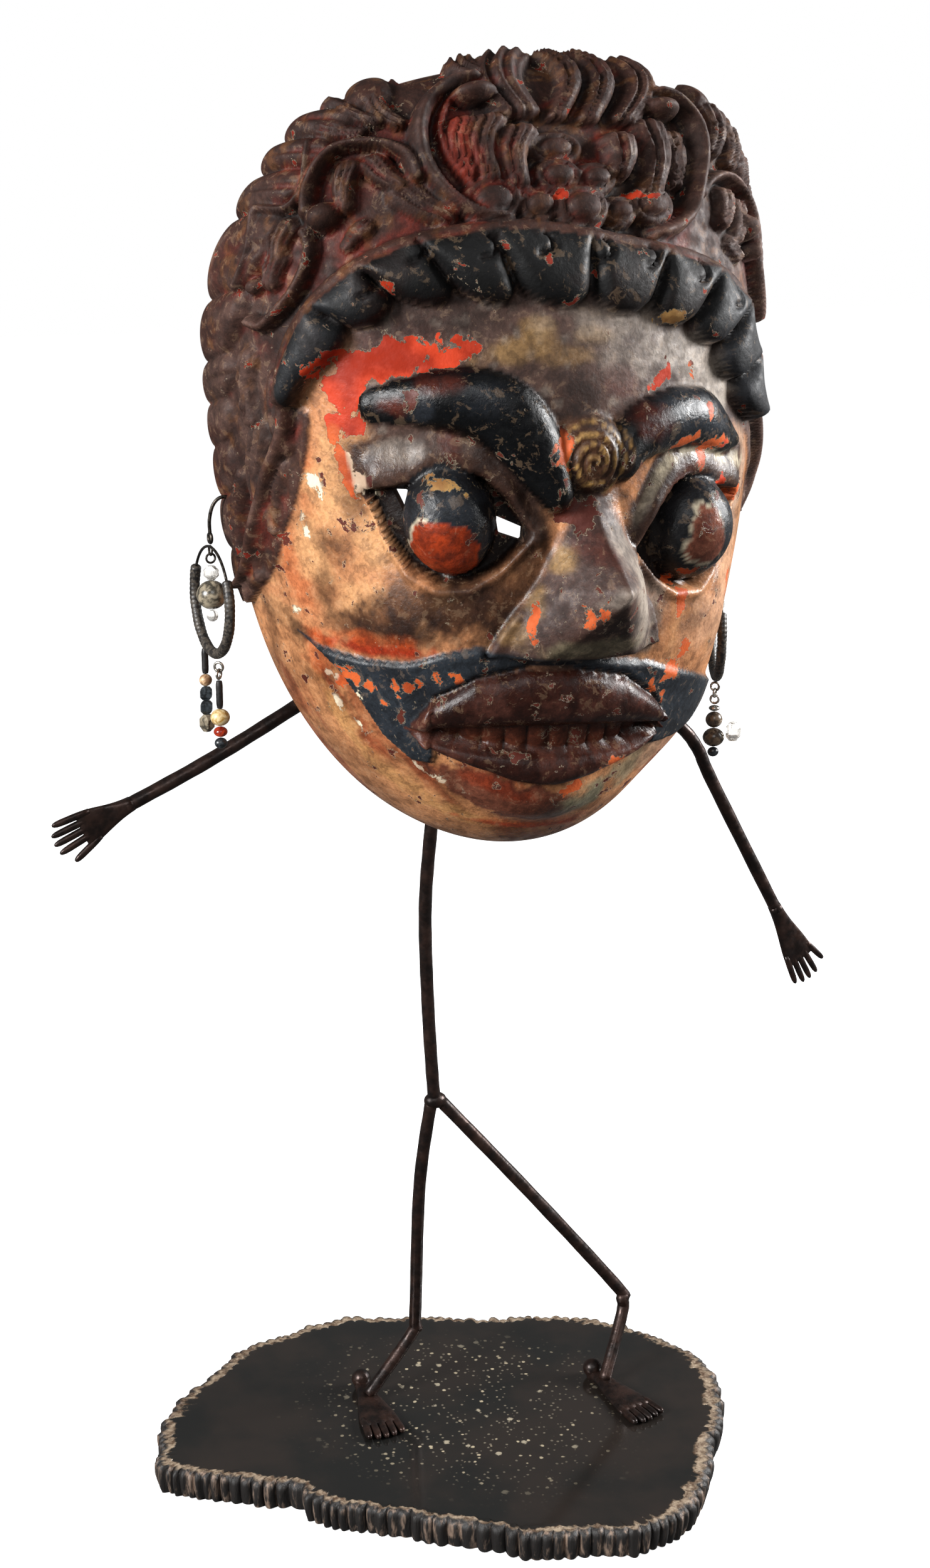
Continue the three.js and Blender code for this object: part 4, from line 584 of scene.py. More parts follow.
def painted(x, z, part, cavity):
    """Colour of each place, what shows through its chips, how chipped it is, and how matt."""
    blotch, fine = cloud(x, z, 13, 3), cloud(x, z, 4, 4)
    ragged = 1.3 * (cloud(x, z, 8, 1) - 0.5) + 0.6 * (fine - 0.5)
    whole, plain = np.ones(x.shape), np.zeros(x.shape + (3,))
    names = ("lid", "brow", "knot", "lip", "teeth", "fringe")
    lid, brow, knot, lip, teeth, fringe = (part[name] for name in names)
    # cheeks, jaw, forehead
    low = smooth(-56, -66, z + 8 * ragged)
    streaks = smooth(0.5, 0.66, cloud(x + z * 0.6, z * 0.3, 16, 6))
    colour = coats(plain, ("cheek", whole), ("cheek_pale", smooth(0.45, 0.7, blotch) * 0.5), ("jaw", low),
                   ("jaw_red", low * streaks * 0.6))
    colour = blotched(colour, BLOTCHES, x, z, ragged, whole)
    above = smooth(22, 30, z + 5 * ragged + 0.06 * np.abs(x)) * smooth(-84, -74, x)
    colour = coats(colour, ("forehead", above), ("pale", above * smooth(0.6, 0.75, fine) * 0.4))
    colour = blotched(colour, FOREHEAD_MARKS, x, z, ragged, above)
    under = coats(plain, ("rust", whole))
    chip = mix(0.06, 0.0, above)
    matt = mix(0.3, 0.55, above)
    # lids, brows, nose, knot
    colour = blotched(coats(colour, ("lid", lid)), CARVED_MARKS["lid"], x, z, ragged, lid)
    lid_edge = part["lid_edge"] * smooth(14, 30, x) * smooth(0.3, 0.5, fine)
    # the recessed eye openings are darkened with painted shade
    colour = coats(colour, ("cream", lid_edge * 0.85), ("socket_shade", part["gap"]), ("black", brow))
    colour = blotched(colour, CARVED_MARKS["brow"], x, z, ragged, brow)
    matt = np.where((brow > 0.5) | (part["ball"] > 0), 0.27, matt)
    on_nose = smooth(1, 3, part["nose"]) * (1 - brow)
    colour = blotched(coats(colour, ("nose", on_nose)), CARVED_MARKS["nose"], x, z, ragged, on_nose)
    matt = np.where(on_nose > 0.5, 0.5, matt)
    colour = coats(colour, ("dark", knot * 0.9), ("ochre", knot * part["coil"] * smooth(0.35, 0.5, fine)))
    # balls: dark above, worn to red below
    worn = ((EYES[0], 12, 12.5, 1, 9, "ball_red"), (EYES[1], 6.5, 10, 5, 1, "ball_pink"))
    for shape, half_x, half_z, side, drop, name in worn:
        on_ball = part["ball"] * (np.sign(x) == np.sign(shape["x"]))
        q = blob(x, z, shape["x"] - side, shape["z"] - drop, half_x, half_z) + 0.5 * ragged
        colour = coats(colour, ("ball", on_ball), ("slate", on_ball * smooth(0.5, 0.65, blotch) * 0.7),
                       ("cream", on_ball * dome((q - 1.03) / 0.08) * smooth(2, -4, x - shape["x"]) * 0.8),
                       (name, on_ball * smooth(1.03, 0.97, q)),
                       ("rust", on_ball * smooth(0.97, 0.8, q) * smooth(0.45, 0.62, fine) * 0.6))
    # moustache, lips, teeth, chin
    hairy = smooth(-0.3, 0.5, part["moustache"])
    edge = smooth(2.6, 1.0, part["moustache"]) * smooth(-50, -46, z + 0.12 * x) * smooth(-30, -46, x)
    chin = smooth(1.05, 0.9, blob(x, z, -27, -114, 36, 13, -12) + 0.5 * ragged) * (1 - hairy)
    colour = coats(colour, ("moustache", hairy), ("slate", hairy * smooth(0.45, 0.62, blotch) * 0.7),
                   ("cream", hairy * edge * 0.55), ("chin", chin))
    colour = blotched(colour, CHIN_MARKS, x, z, ragged, 1 - hairy)
    # the dark between the teeth is painted shade
    colour = coats(colour, ("lip", lip), ("tooth", teeth),
                   ("lip_pale", lip * smooth(0.5, 0.68, blotch) * 0.6),
                   ("hollow_shade", teeth * smooth(-3.2, -4, part["tooth_rise"]) * 0.8))
    matt = np.where(lip > 0.5, 0.28, matt)
    # hair and crown
    hair = smooth(0.0, 0.8, part["out"])
    # grey on the flanks is the paint's own; greyer raised places are a painted sheen on the ridges
    grey_and_sheen = np.clip(smooth(10, 100, x) * 0.8 + smooth(-90, -130, x) * 0.45, 0, 1)
    grey_and_sheen += 0.35 * smooth(0.5, 3, cavity)
    wood = coats(plain, ("side_wood", whole), ("crown", smooth(-2, 6, part["beyond"])),
                 ("crown_grey", grey_and_sheen * smooth(0.3, 0.6, blotch)),
                 ("crown_red", smooth(0.52, 0.66, cloud(x, z, 18, 9)) * smooth(0.5, -1.5, cavity) * 0.9),
                 ("crown_ochre", smooth(0.58, 0.7, cloud(x * 1.6, z, 7, 12)) * smooth(2, 0, cavity) * 0.3),
                 ("crown_red", smooth(1.2, 0.6, blob(x, z, -33, 126, 7, 26) + 0.5 * ragged) * 0.8))
    curls = coats(plain, ("curl", whole), ("curl_brown", smooth(0.5, 0.65, blotch) * 0.8),
                  ("curl_grey", smooth(38, 66, x) * 0.85 + smooth(-62, -84, x) * 0.35))
    colour = mix(colour, mix(wood, curls, fringe[..., None]), hair[..., None])
    under = mix(under, coats(plain, ("crown_red", whole)), hair[..., None])
    chip = mix(chip, np.where(fringe > 0, -0.02, 0.03), hair)
    matt = mix(matt, np.where(fringe > 0, 0.54, 0.62), hair)
    # painted shade darkens the hollows, and a painted highlight lightens the raised edges
    colour = coats(colour, ("hollow_shade", smooth(0.0, -2.6, cavity) * (0.45 + 0.4 * hair)))
    colour = colour * (1 + 0.3 * smooth(0.5, 3.0, cavity))[..., None]
    # lost paint
    for name, *shape in LOSSES + SPOTS:
        inside = (1 - blob(x, z, *shape)) * min(shape[2:4])
        under = coats(under, (name, smooth(-2.5, -1.5, inside)))
        kept = 0.9 * brow * (name == "red")
        chip = np.maximum(chip, np.where(inside > -3, 0.4 + 0.13 * inside, 0) * (1 - kept))
    return colour, under, chip, matt


# Materials
def node(tree, kind, inputs=(), out=0, **settings):
    """Adds a node with its settings, sets or links its inputs, and gives one of its outputs."""
    made = tree.nodes.new("ShaderNode" + kind)
    for name, value in settings.items():
        setattr(made, name, value)
    for name, value in inputs.items() if isinstance(inputs, dict) else enumerate(inputs):
        if isinstance(value, bpy.types.NodeSocket):
            tree.links.new(value, made.inputs[name])
        else:
            made.inputs[name].default_value = linear(value) if isinstance(value, str) else value
    return made.outputs[out] if made.outputs else made


SOFT = {"interpolation_type": "SMOOTHSTEP"}


def pattern(tree, size, detail=4.0, rough=0.55, warp=0.0, tall=1.0, between=None, to=None):
    """Blotches about size millimetres across, 1 / tall times as high, brought from one range to another."""
    place = node(tree, "Mapping", {"Vector": node(tree, "TexCoord", out="Object"), "Scale": (1.0, 1.0, tall)})
    value = node(tree, "TexNoise", {"Vector": place, "Scale": 1 / (size * MM), "Detail": detail,
                                    "Roughness": rough, "Distortion": warp})
    return node(tree, "MapRange", (value, *between, *to), **SOFT) if between else value


def laid(tree, colour, *rows):
    """Lays tones over a colour. A row is how much of a tone, the tone, and how it mixes. How much may be
    a pattern with the range of it that counts and the most that it gives."""
    for amount, tone, *how in rows:
        if isinstance(amount, tuple):
            value, low, high, most = amount
            amount = node(tree, "MapRange", (value, low, high, 0.0, most), **SOFT)
        colour = node(tree, "Mix", {0: amount, 6: colour, 7: tone}, 2, data_type="RGBA",
                      blend_type=how[0] if how else "MIX")
    return colour


def summed(tree, total, *rows):
    """Adds patterns to a value, each times its weight."""
    for value, weight in rows:
        total = node(tree, "Math", (value, weight, total), operation="MULTIPLY_ADD")
    return total


def material(name):
    made = bpy.data.materials.new(name)
    made.use_nodes = True
    made.node_tree.nodes.clear()
    return made, made.node_tree


def finished(made, relief, depth, inputs):
    """Closes a material with its shader, over a relief that is so many millimetres deep."""
    tree = made.node_tree
    bump = node(tree, "Bump", {"Height": relief, "Distance": depth * MM, "Strength": 1.0})
    node(tree, "OutputMaterial", {"Surface": node(tree, "BsdfPrincipled", {**inputs, "Normal": bump})})
    return made


def old_paint():
    """Oil paint over carved wood: glossy where it holds, chipped to lower coats and bare wood."""
    made, tree = material("old_oil_paint_on_wood")
    colour, below = (node(tree, "Attribute", out="Color", attribute_name=name) for name in ("paint", "below"))
    chip, matt = (node(tree, "Attribute", out="Fac", attribute_name=name) for name in ("chip", "matt"))
    blotch, cloudy = pattern(tree, 8, 8.0, 0.62, 0.3), pattern(tree, 20, 5.0, 0.6)
    grain, mottle = pattern(tree, 1.5, 3.0, 0.6), pattern(tree, 5, 9.0, 0.68, 0.5)
    # a chip's pale edge shows where the chip's own threshold isn't reached yet
    chipped = summed(tree, blotch, (chip, 0.42))
    flake = node(tree, "MapRange", (chipped, 0.656, 0.668, 0.0, 1.0), **SOFT)
    halo = summed(tree, node(tree, "MapRange", (chipped, 0.642, 0.656, 0.0, 0.4), **SOFT), (flake, -0.4))
    worn = laid(tree, below, ((cloudy, 0.42, 0.62, 0.6), "#8a4a34", "MULTIPLY"))
    colour = laid(tree, colour,
                  ((cloudy, 0.35, 0.65, 0.5), "#5a4336", "MULTIPLY"),
                  ((mottle, 0.52, 0.56, 0.3), "#4a3830", "MULTIPLY"),
                  ((mottle, 0.44, 0.4, 0.16), "#a08468", "SCREEN"),
                  ((grain, 0.3, 0.75, 0.35), "#3a2a24", "MULTIPLY"),
                  ((grain, 0.66, 0.84, 0.2), "#a58f78", "SCREEN"),
                  (halo, "#cbbb9f"), (flake, worn))
    wander = pattern(tree, 5, between=(0.3, 0.7), to=(-0.08, 0.16))
    rough = summed(tree, matt, (wander, 1.0), (flake, 0.2))
    relief = summed(tree, 0.0, (grain, 0.35), (flake, -0.5), (blotch, 0.8))
    return finished(made, relief, 0.5, {"Base Color": colour, "Roughness": rough, "IOR": 1.45,
                                        "Specular IOR Level": 0.26})


def bare_wood():
    """Adzed bare wood, darkened by age: streaks run up the block."""
    made, tree = material("aged_bare_wood")
    streak = pattern(tree, 2.2, 5.0, 0.6, 0.3, 0.12)
    colour = laid(tree, "#2c1d14", ((streak, 0.3, 0.7, 1.0), "#5b4130"),
                  ((pattern(tree, 30), 0.45, 0.7, 0.5), "#22160f"))
    relief = summed(tree, 0.0, (pattern(tree, 14, 1.0, 0.4), 1.6), (streak, 0.3))
    return finished(made, relief, 0.9, {"Base Color": colour, "Roughness": 0.72})


def forged_steel():
    """Round steel bar, hammered and oiled: dark brown scale with a satin shine."""
    made, tree = material("forged_oiled_steel")
    colour = laid(tree, "#1d1614", ((pattern(tree, 7, 5.0, 0.6), 0.35, 0.7, 1.0), "#3b2a24"))
    rough = pattern(tree, 3, between=(0.3, 0.7), to=(0.26, 0.46))
    hammering = pattern(tree, 3.5, 3.0, 0.5)
    return finished(made, hammering, 0.25, {"Base Color": colour, "Metallic": 0.6, "Roughness": rough})


# Flecks in the slab: size in millimetres, where a fleck ends, tone
FLECKS = [(8.5, 0.27, 0.35, "#8f8674"), (4.2, 0.3, 0.39, "#a3977f"), (2.2, 0.35, 0.49, "#625b4f")]
UPRIGHT = 0.15


def polished_stone():
    """Polished agate slab: near black with cream flecks in the middle and a tan band inside the crust."""
    made, tree = material("polished_agate_slab")
    edge, middle, side = (node(tree, "Attribute", out="Fac", attribute_name=name)
                          for name in ("from_edge", "middle", "crust"))
    colour = laid(tree, "#161615", ((pattern(tree, 45), 0.35, 0.65, 1.0), "#221d1a"))
    for size, low, high, tone in FLECKS:
        place = node(tree, "TexCoord", out="Object")
        cells = node(tree, "TexVoronoi", {"Vector": place, "Scale": 1 / (size * MM), "Randomness": 1.0})
        lot = node(tree, "SeparateColor", (cells.node.outputs["Color"],))
        ragged = summed(tree, cells, (pattern(tree, 1.5, 3.0), 0.3))
        fleck = node(tree, "MapRange", (ragged, low, high, 1.0, 0.0), **SOFT)
        for part in (node(tree, "Math", (lot, 0.68), operation="GREATER_THAN"), middle):
            fleck = node(tree, "Math", (fleck, part), operation="MULTIPLY")
        colour = laid(tree, colour, (fleck, tone))
    wander = summed(tree, edge, (pattern(tree, 9, between=(0.3, 0.7), to=(-2.6, 2.6)), 1.0))
    rind = node(tree, "MapRange", (wander, 4.2, 2.4, 0.0, 1.0), **SOFT)
    band = laid(tree, "#4a3626", ((pattern(tree, 3, 5.0, 0.7), 0.35, 0.65, 1.0), "#94836f"))
    crust = laid(tree, "#15110f", ((pattern(tree, 3, 4.0, 0.6, 0.0, UPRIGHT), 0.5, 0.72, 1.0), "#8d7767"))
    colour = laid(tree, colour, (rind, band), (side, crust))
    rough = summed(tree, 0.13, (rind, 0.4), (side, 0.06))
    dull = node(tree, "Math", (side, rind), operation="MAXIMUM")
    grit = node(tree, "Math", (pattern(tree, 2.5, 4.0, 0.6, 0.0, UPRIGHT), dull), operation="MULTIPLY")
    return finished(made, grit, 0.8, {"Base Color": colour, "Roughness": rough, "IOR": 1.54})


def glossy(name, first, second, size, rough, metal=0.0, ior=1.5, clear=0.0):
    """A bead's or wire's finish: two tones in blotches of the given size, in millimetres."""
    made, tree = material(name)
    colour = laid(tree, first, ((pattern(tree, size, 4.0, 0.6, 0.6), 0.4, 0.62, 1.0), second))
    wander = pattern(tree, size * 0.6, between=(0.3, 0.7), to=(rough * 0.8, rough * 1.3))
    inputs = {"Base Color": colour, "Roughness": wander, "Metallic": metal, "Transmission Weight": clear}
    if not metal:
        inputs["IOR"] = ior
    return finished(made, pattern(tree, size * 0.35, 3.0), 0.05, inputs)


# Meshes
def link_to_scene(made):
    bpy.context.scene.collection.objects.link(made)
    return made


def mesh_piece(name, points, faces, finish, slot, replaced=(), sharp=None):
    """A mesh from points in millimetres, riding on the one body."""
    mesh = bpy.data.meshes.new(name)
    corners = [tuple(p) for p in np.asarray(points, float) * MM]
    mesh.from_pydata(corners, [], [tuple(map(int, f)) for f in faces])
    mesh.validate()
    made = link_to_scene(bpy.data.objects.new(name, mesh))
    mesh.materials.append(finish)
    mesh.polygons.foreach_set("use_smooth", [True] * len(mesh.polygons))
    if sharp is not None:
        mesh.set_sharp_from_angle(angle=math.radians(sharp))
    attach(made, "root")
    if replaced:
        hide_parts(*replaced)
    return made


def put_values(made, name, values):
    """Stores one number or colour for each point of a mesh."""
    rows = np.asarray(values, float)
    kind, field = ("FLOAT", "value") if rows.ndim == 1 else ("FLOAT_COLOR", "color")
    if rows.ndim == 2:
        rows = np.hstack([rows, np.ones((len(rows), 1))])
    made.data.attributes.new(name, kind, "POINT").data.foreach_set(field, rows.ravel())


def lofted(rings, closed=False):
    """Points and faces of a skin over rings of equal count, capped at both ends or closed on itself."""
    rings = [np.asarray(r, float) for r in rings]
    count, total = len(rings[0]), len(rings)
    points = list(np.vstack(rings))
    gaps = [np.linalg.norm(np.roll(rings[0], -n, 0) - rings[-1]) for n in range(count)]
    faces = []
    for i in range(total if closed else total - 1):
        shift = int(np.argmin(gaps)) if i == total - 1 else 0
        here, after = i * count, (i + 1) % total * count
        for j in range(count):
            k = (j + 1) % count
            faces.append((here + j, here + k, after + (k + shift) % count, after + (j + shift) % count))
    for i, turned in () if closed else ((0, True), (total - 1, False)):
        middle = len(points)
        points.append(rings[i].mean(0))
        for j in range(count):
            a, b = i * count + j, i * count + (j + 1) % count
            faces.append((middle, b, a) if turned else (middle, a, b))
    return points, faces


def full_turn(count):
    return np.linspace(0, 2 * PI, count, endpoint=False)


def along_path(path, widths, heights=None, sides=16, up=None, closed=False, power=2.0):
    """Rings of a bar along a path, from half widths and half heights, superellipse in section."""
    path = np.asarray(path, float)
    ahead = np.roll(path, -1, 0) - np.roll(path, 1, 0) if closed else np.gradient(path, axis=0)
    ahead /= np.linalg.norm(ahead, axis=1, keepdims=True)
    heights = widths if heights is None else heights
    turns = full_turn(sides)
    cx, cy = (np.sign(v) * np.abs(v) ** (2 / power) for v in (np.cos(turns), np.sin(turns)))
    lift = np.array(up if up is not None else (0.31, 0.93, 0.19), float)
    rings = []
    for at, way, wide, tall in zip(path, ahead, widths, heights):
        across = np.cross(way, lift)
        across /= np.linalg.norm(across)
        over_it = np.cross(across, way)
        lift = over_it if up is None else lift
        rings.append(at + np.outer(cx * wide, across) + np.outer(cy * tall, over_it))
    return rings


def joined(shapes):
    points, faces = [], []
    for more_points, more_faces in shapes:
        start = len(points)
        points.extend(more_points)
        faces.extend([tuple(start + i for i in f) for f in more_faces])
    return points, faces


def flat_ring(at, half_x, half_y, turns, z=0.0):
    return np.stack([half_x * np.cos(turns), half_y * np.sin(turns), np.full(len(turns), z)], -1) + at


def ball_shape(at, half, sides=24, rows=14):
    rings = []
    for i in range(1, rows):
        a = PI * i / rows
        rings.append(flat_ring(at, half[0] * math.sin(a), half[1] * math.sin(a), full_turn(sides),
                               -half[2] * math.cos(a)))
    points, faces = lofted(rings)
    points[-2] = np.array(at) - (0, 0, half[2])
    points[-1] = np.array(at) + (0, 0, half[2])
    return points, faces


# The mask
SOFTENING = 14


def make_mask(paint, wood):
    n = CELLS
    u, v = np.meshgrid(np.linspace(-1, 1, n + 1), np.linspace(-1, 1, n + 1))
    x = (u * np.sqrt(1 - v * v / 2) * UNITS_ACROSS).ravel()
    z = (v * np.sqrt(1 - u * u / 2) * UNITS_UP).ravel()
    corner = np.arange((n + 1) ** 2).reshape(n + 1, n + 1)
    quads = np.stack([corner[:-1, :-1], corner[:-1, 1:], corner[1:, 1:], corner[1:, :-1]], -1).reshape(-1, 4)
    middle_x, middle_z = x[quads].mean(1), z[quads].mean(1)
    kept = np.ones(len(quads), bool)
    walls = []
    for corners in SLITS:
        hole = within(corners, middle_x, middle_z)
        kept &= ~hole
        edges = dict.fromkeys((a, b) for quad in quads[hole] for a, b in zip(quad, np.roll(quad, -1)))
        rim = [(a, b) for a, b in edges if (b, a) not in edges]
        walls.extend(rim)
        places = np.array(sorted({i for pair in rim for i in pair}))
        x[places], z[places] = snapped(corners, x[places], z[places])
    height, part = carving(x, z)
    part = {name: np.asarray(value, float) for name, value in part.items()}
    cavity = height - softened(height.reshape(n + 1, n + 1), SOFTENING).ravel()
    s, t = x / UNITS_ACROSS, z / UNITS_UP
    front = mask_point(s, t, height * UNIT)
    back = mask_point(s, t, np.full(s.shape, -float(MASK_WALL)))
    skin = mesh_piece("carved_mask", front, quads[kept], paint, "painted_wood", ("mask",))
    for name, values in zip(("paint", "below", "chip", "matt"), painted(x, z, part, cavity)):
        put_values(skin, name, values)
    # the hollow back, with the rim and the slits' walls
    total = len(front)
    outline = np.concatenate([corner[0, :-1], corner[:-1, -1], corner[-1, :0:-1], corner[:0:-1, 0]])
    faces = [tuple(q[::-1] + total) for q in quads[kept]]
    faces += [(a, a + total, b + total, b) for a, b in zip(outline, np.roll(outline, -1))]
    faces += [(b, b + total, a + total, a) for a, b in walls]
    used = np.unique(faces)
    order = np.full(2 * total, -1)
    order[used] = np.arange(len(used))
    points = np.vstack([front, back])[used]
    mesh_piece("hollow_back", points, order[np.array(faces)], wood, "painted_wood", sharp=50)


# The steel figure
FIGURE_UNIT = EAR_HEIGHT / 456
BEHIND = 8


def posed(x, y, z):
    return np.array([x * FIGURE_UNIT, y * FIGURE_UNIT, SLAB_THICKNESS + z * FIGURE_UNIT])


def bent(*places):
    return [posed(*place) for place in places]


HIP = posed(4.5, 26, 150)
SHOULDER = posed(3.5, BEHIND, 377)
SOCKET_AT = 0.36
FOREHEAD, FOREHEAD_IN = (mask_point(np.array(0.0), np.array(SOCKET_AT), np.array(-MASK_WALL + deep))
                         for deep in (4.0, -26.0))
ABOVE = 437
SPINE = [HIP,
         *bent((3, 25, 158), (-0.8, 22, 201), (-4, 17, 247), (-4.2, 9.5, 288), (-1, BEHIND, 328)),
         SHOULDER,
         *bent((3.5, 6, ABOVE),
               (3.5, mix(BEHIND, FOREHEAD_IN[1] / FIGURE_UNIT, 0.45),
                mix(ABOVE, (FOREHEAD_IN[2] - SLAB_THICKNESS) / FIGURE_UNIT, 0.82))),
         FOREHEAD_IN, FOREHEAD]
# Where each leg meets its foot, how far the foot turns in degrees, and how far behind its heel lies
ANKLES = bent((-28.5, 31, 0), (79, -4, 0))
TURNS = [-8, 7]
HEEL_BACK = [13, 10]
LEGS = [
    bent((2.5, 26, 150), (-1, 32, 105), (-2.3, 35, 37), (-3.4, 35.2, 29), (-28.5, 31, 3.5)),
    bent((6.5, 26, 150), (50, 18, 97), (93.5, 11.5, 42), (95.5, 10, 36), (95, 9, 28), (79, -4, 3.5)),
]
# Elbows and wrists, across and up, in the plane behind the mask
ARMS = [[SHOULDER] + [posed(x, BEHIND, z) for x, z in bends] for bends in (
    ((-20, 371), (-66.7, 346.7), (-105.5, 327.8), (-140.6, 313)),
    ((45, 369), (90, 339), (116.7, 319.5), (127.5, 307), (136, 290), (173.4, 222.5)))]
PALMS = [20, 30]
WRIST_LAP = 3
# Lean in radians and length of each finger and toe
FINGERS = [(-0.12, 10), (-0.05, 12), (0, 12.5), (0.07, 12), (0.3, 8.5)]
ROOTED = 6
TOES = [(-0.06, 9.6), (-0.02, 10.6), (0, 10.6), (0.03, 9.8), (0.08, 8.6)]


def rod_shape(points, half=ROD / 2 * 0.985):
    """A bent bar, a little uneven along its length."""
    path = spline(points, 10)
    wear = 1 + 0.02 * np.sin(np.arange(len(path)) * 1.7)
    return lofted(along_path(path, half * wear, sides=18))


def fan_shape(at, ahead, across, up, neck, palm, wide, thick, fingers, finger_half):
    """A rod's hammered end: it widens into a thin palm or sole, split into five rounded fingers or toes."""
    at, ahead, across, up = (np.array(v, float) for v in (at, ahead, across, up))
    k = np.linspace(0, 1, 13)
    path = [at + ahead * palm * v for v in k]
    widths = mix(neck / 2, wide / 2, smooth(-0.15, 1.0, k) ** 1.3)
    heights = mix(neck / 2, thick / 2, smooth(0.0, 0.6, k)) * np.where(k > 0.97, 0.9, 1)
    shapes = [lofted(along_path(path, widths, heights, 20, up=up, power=2.6))]
    run = np.array([0, 0.2, 0.4, 0.6, 0.75, 0.88, 0.96, 1.0])
    taper = np.array([0.8, 0.95, 1, 0.98, 0.95, 0.85, 0.62, 0.28])
    for i, (lean, length) in enumerate(fingers):
        side = mix(-wide / 2, wide / 2, (i + 0.5) / len(fingers))
        root = at + ahead * (palm - ROOTED) + across * side * 0.93
        way = ahead * math.cos(lean) + across * math.sin(lean)
        path = [root + way * (length + ROOTED) * v for v in run]
        heights = thick / 2 * np.minimum(taper + 0.05, 1)
        shapes.append(lofted(along_path(path, finger_half * taper, heights, 12, up=up, power=2.4)))
    return shapes


def make_figure(steel):
    knot = ball_shape(HIP, (5.4, 4.3, 3.8))
    mesh_piece("spine", *joined([rod_shape(SPINE), knot]), steel, "rod_steel", ("spine_rod",))
    for i, side in enumerate(("left", "right")):
        arm = np.array(ARMS[i], float)
        ahead = arm[-1] - arm[-2]
        ahead /= np.linalg.norm(ahead)
        across = np.array([-ahead[2], 0, ahead[0]])
        wrist = arm[-1] - WRIST_LAP * ahead
        palm = PALMS[i] + WRIST_LAP
        hand = fan_shape(wrist, ahead, across, (0, 1, 0), ROD * 0.97, palm, 16, 2.6, FINGERS, 1.5)
        rods = (("arm_" + side, joined([rod_shape(arm)] + hand)), ("leg_" + side, rod_shape(LEGS[i])))
        for name, shape in rods:
            mesh_piece(name + "_rod", *shape, steel, "rod_steel", (name,))
        turn = math.radians(TURNS[i])
        ahead = np.array([math.sin(turn), -math.cos(turn), 0])
        across = np.array([math.cos(turn), math.sin(turn), 0])
        heel = ANKLES[i] - ahead * HEEL_BACK[i] + np.array([0, 0, 0.3])
        foot = fan_shape(heel + (0, 0, 1.7), ahead, across, (0, 0, 1), 6.6, 37, 18.6, 3.4, TOES, 1.8)
        lump = ball_shape(heel + (0, 0, 4.7), (4.6, 4.6, 4.6))
        mesh_piece("foot_" + side + "_forged", *joined(foot + [lump]), steel, "rod_steel", ("foot_" + side,))


# The slab
SLAB_OUTLINE = [
    (-130.5, 40.6), (-120.2, 57.9), (-102, 77.9), (-76.2, 97.6), (-49.4, 108.4), (-18.3, 111), (18.6, 100.8),
    (51.8, 81.8), (82, 71.2), (107.8, 52.2), (124.6, 30.7), (133.6, 3.1), (131.2, -21.5), (118.6, -46.3),
    (96.4, -76.5), (76.1, -99.6), (56.6, -111.3), (32.5, -110.2), (6.1, -102.9), (-12.3, -91.8),
    (-37.7, -69.9), (-68.5, -45.3), (-82.4, -28.4), (-84.8, -19.3), (-100.7, -6.5), (-124.4, 10),
    (-133.6, 22.4),
]
SLAB_STEPS = 36
MOST_OUT = 1.3


def make_slab(stone):
    """Rings up the columnar crust, then inward over the polished top."""
    corners = np.array(SLAB_OUTLINE[::-1], float)
    ends = np.vstack([corners[-1:], corners, corners[:2]])
    around = np.array([cubic(*ends[i:i + 4], j / SLAB_STEPS)
                       for i in range(len(corners)) for j in range(SLAB_STEPS)])
    step = np.linalg.norm(np.roll(around, -1, 0) - around, axis=1)
    length = np.concatenate([[0], np.cumsum(step)[:-1]])
    ahead = np.roll(around, -1, 0) - np.roll(around, 1, 0)
    ahead /= np.linalg.norm(ahead, axis=1, keepdims=True)
    outward = np.stack([ahead[:, 1], -ahead[:, 0]], -1)
    widths = 3.6 + 3.4 * cloud(length, length * 0, 30, 3, 2)
    phase = np.cumsum(step / widths)
    which = np.floor(phase)
    column = np.abs(np.sin(phase * PI)) ** 0.55
    big = cloud(length, length * 0, 22, 7, 3)
    rings, values = [], []
    for rise in np.linspace(0, 1, 9):
        tilt = chance(which, which * 0, 11) - 0.5
        bulge = 1.3 * math.sin(rise * PI * 0.85) - 1.6 * smooth(0.86, 1.0, rise) - 1.1 * (1 - rise)
        rough = 0.5 * (cloud(length, np.full(length.shape, rise * 9.0), 3, 9, 3) - 0.5)
        stout = 0.45 + 0.55 * chance(which, which * 0, 2)
        out = -3.4 + 3.6 * column * stout + 6 * (big - 0.5) + bulge + rough
        out = np.minimum(out + 0.7 * tilt * rise, MOST_OUT)
        top = SLAB_THICKNESS - 0.9 * smooth(0.3, 0.9, chance(which, which * 0, 21))
        rings.append(np.column_stack([around + outward * out[:, None], rise * top]))
        values.append(np.tile([0.0, 1.0, 0.0], (len(top), 1)))
    for inset in (1.0, 2.4, 4, 6, 9, 14, 22, 34, 50, 70):
        k = inset / 100
        flat = around * (1 - k) + outward * mix(out - 0.7, -1.6, smooth(1, 9, inset))[:, None]
        z = SLAB_THICKNESS - 0.5 * smooth(5, 1, inset) * chance(which, which * 0, 8)
        rings.append(np.column_stack([flat, np.minimum(z, SLAB_THICKNESS)]))
        middle = smooth(0.12, 0.45, k) * smooth(80, 35, np.hypot(flat[:, 0] - 12, flat[:, 1] * 0.85 - 8))
        values.append(np.stack([np.full(len(z), inset), np.zeros(len(z)), middle], -1))
    points, faces = lofted(rings)
    made = mesh_piece("stone_slab", points, faces, stone, "slab_stone", ("base_slab",), sharp=60)
    rows = np.vstack(values + [np.array([[0, 1, 0], [99, 0, 1]])])
    for name, column_of in (("from_edge", 0), ("crust", 1), ("middle", 2)):
        put_values(made, name, rows[:, column_of])


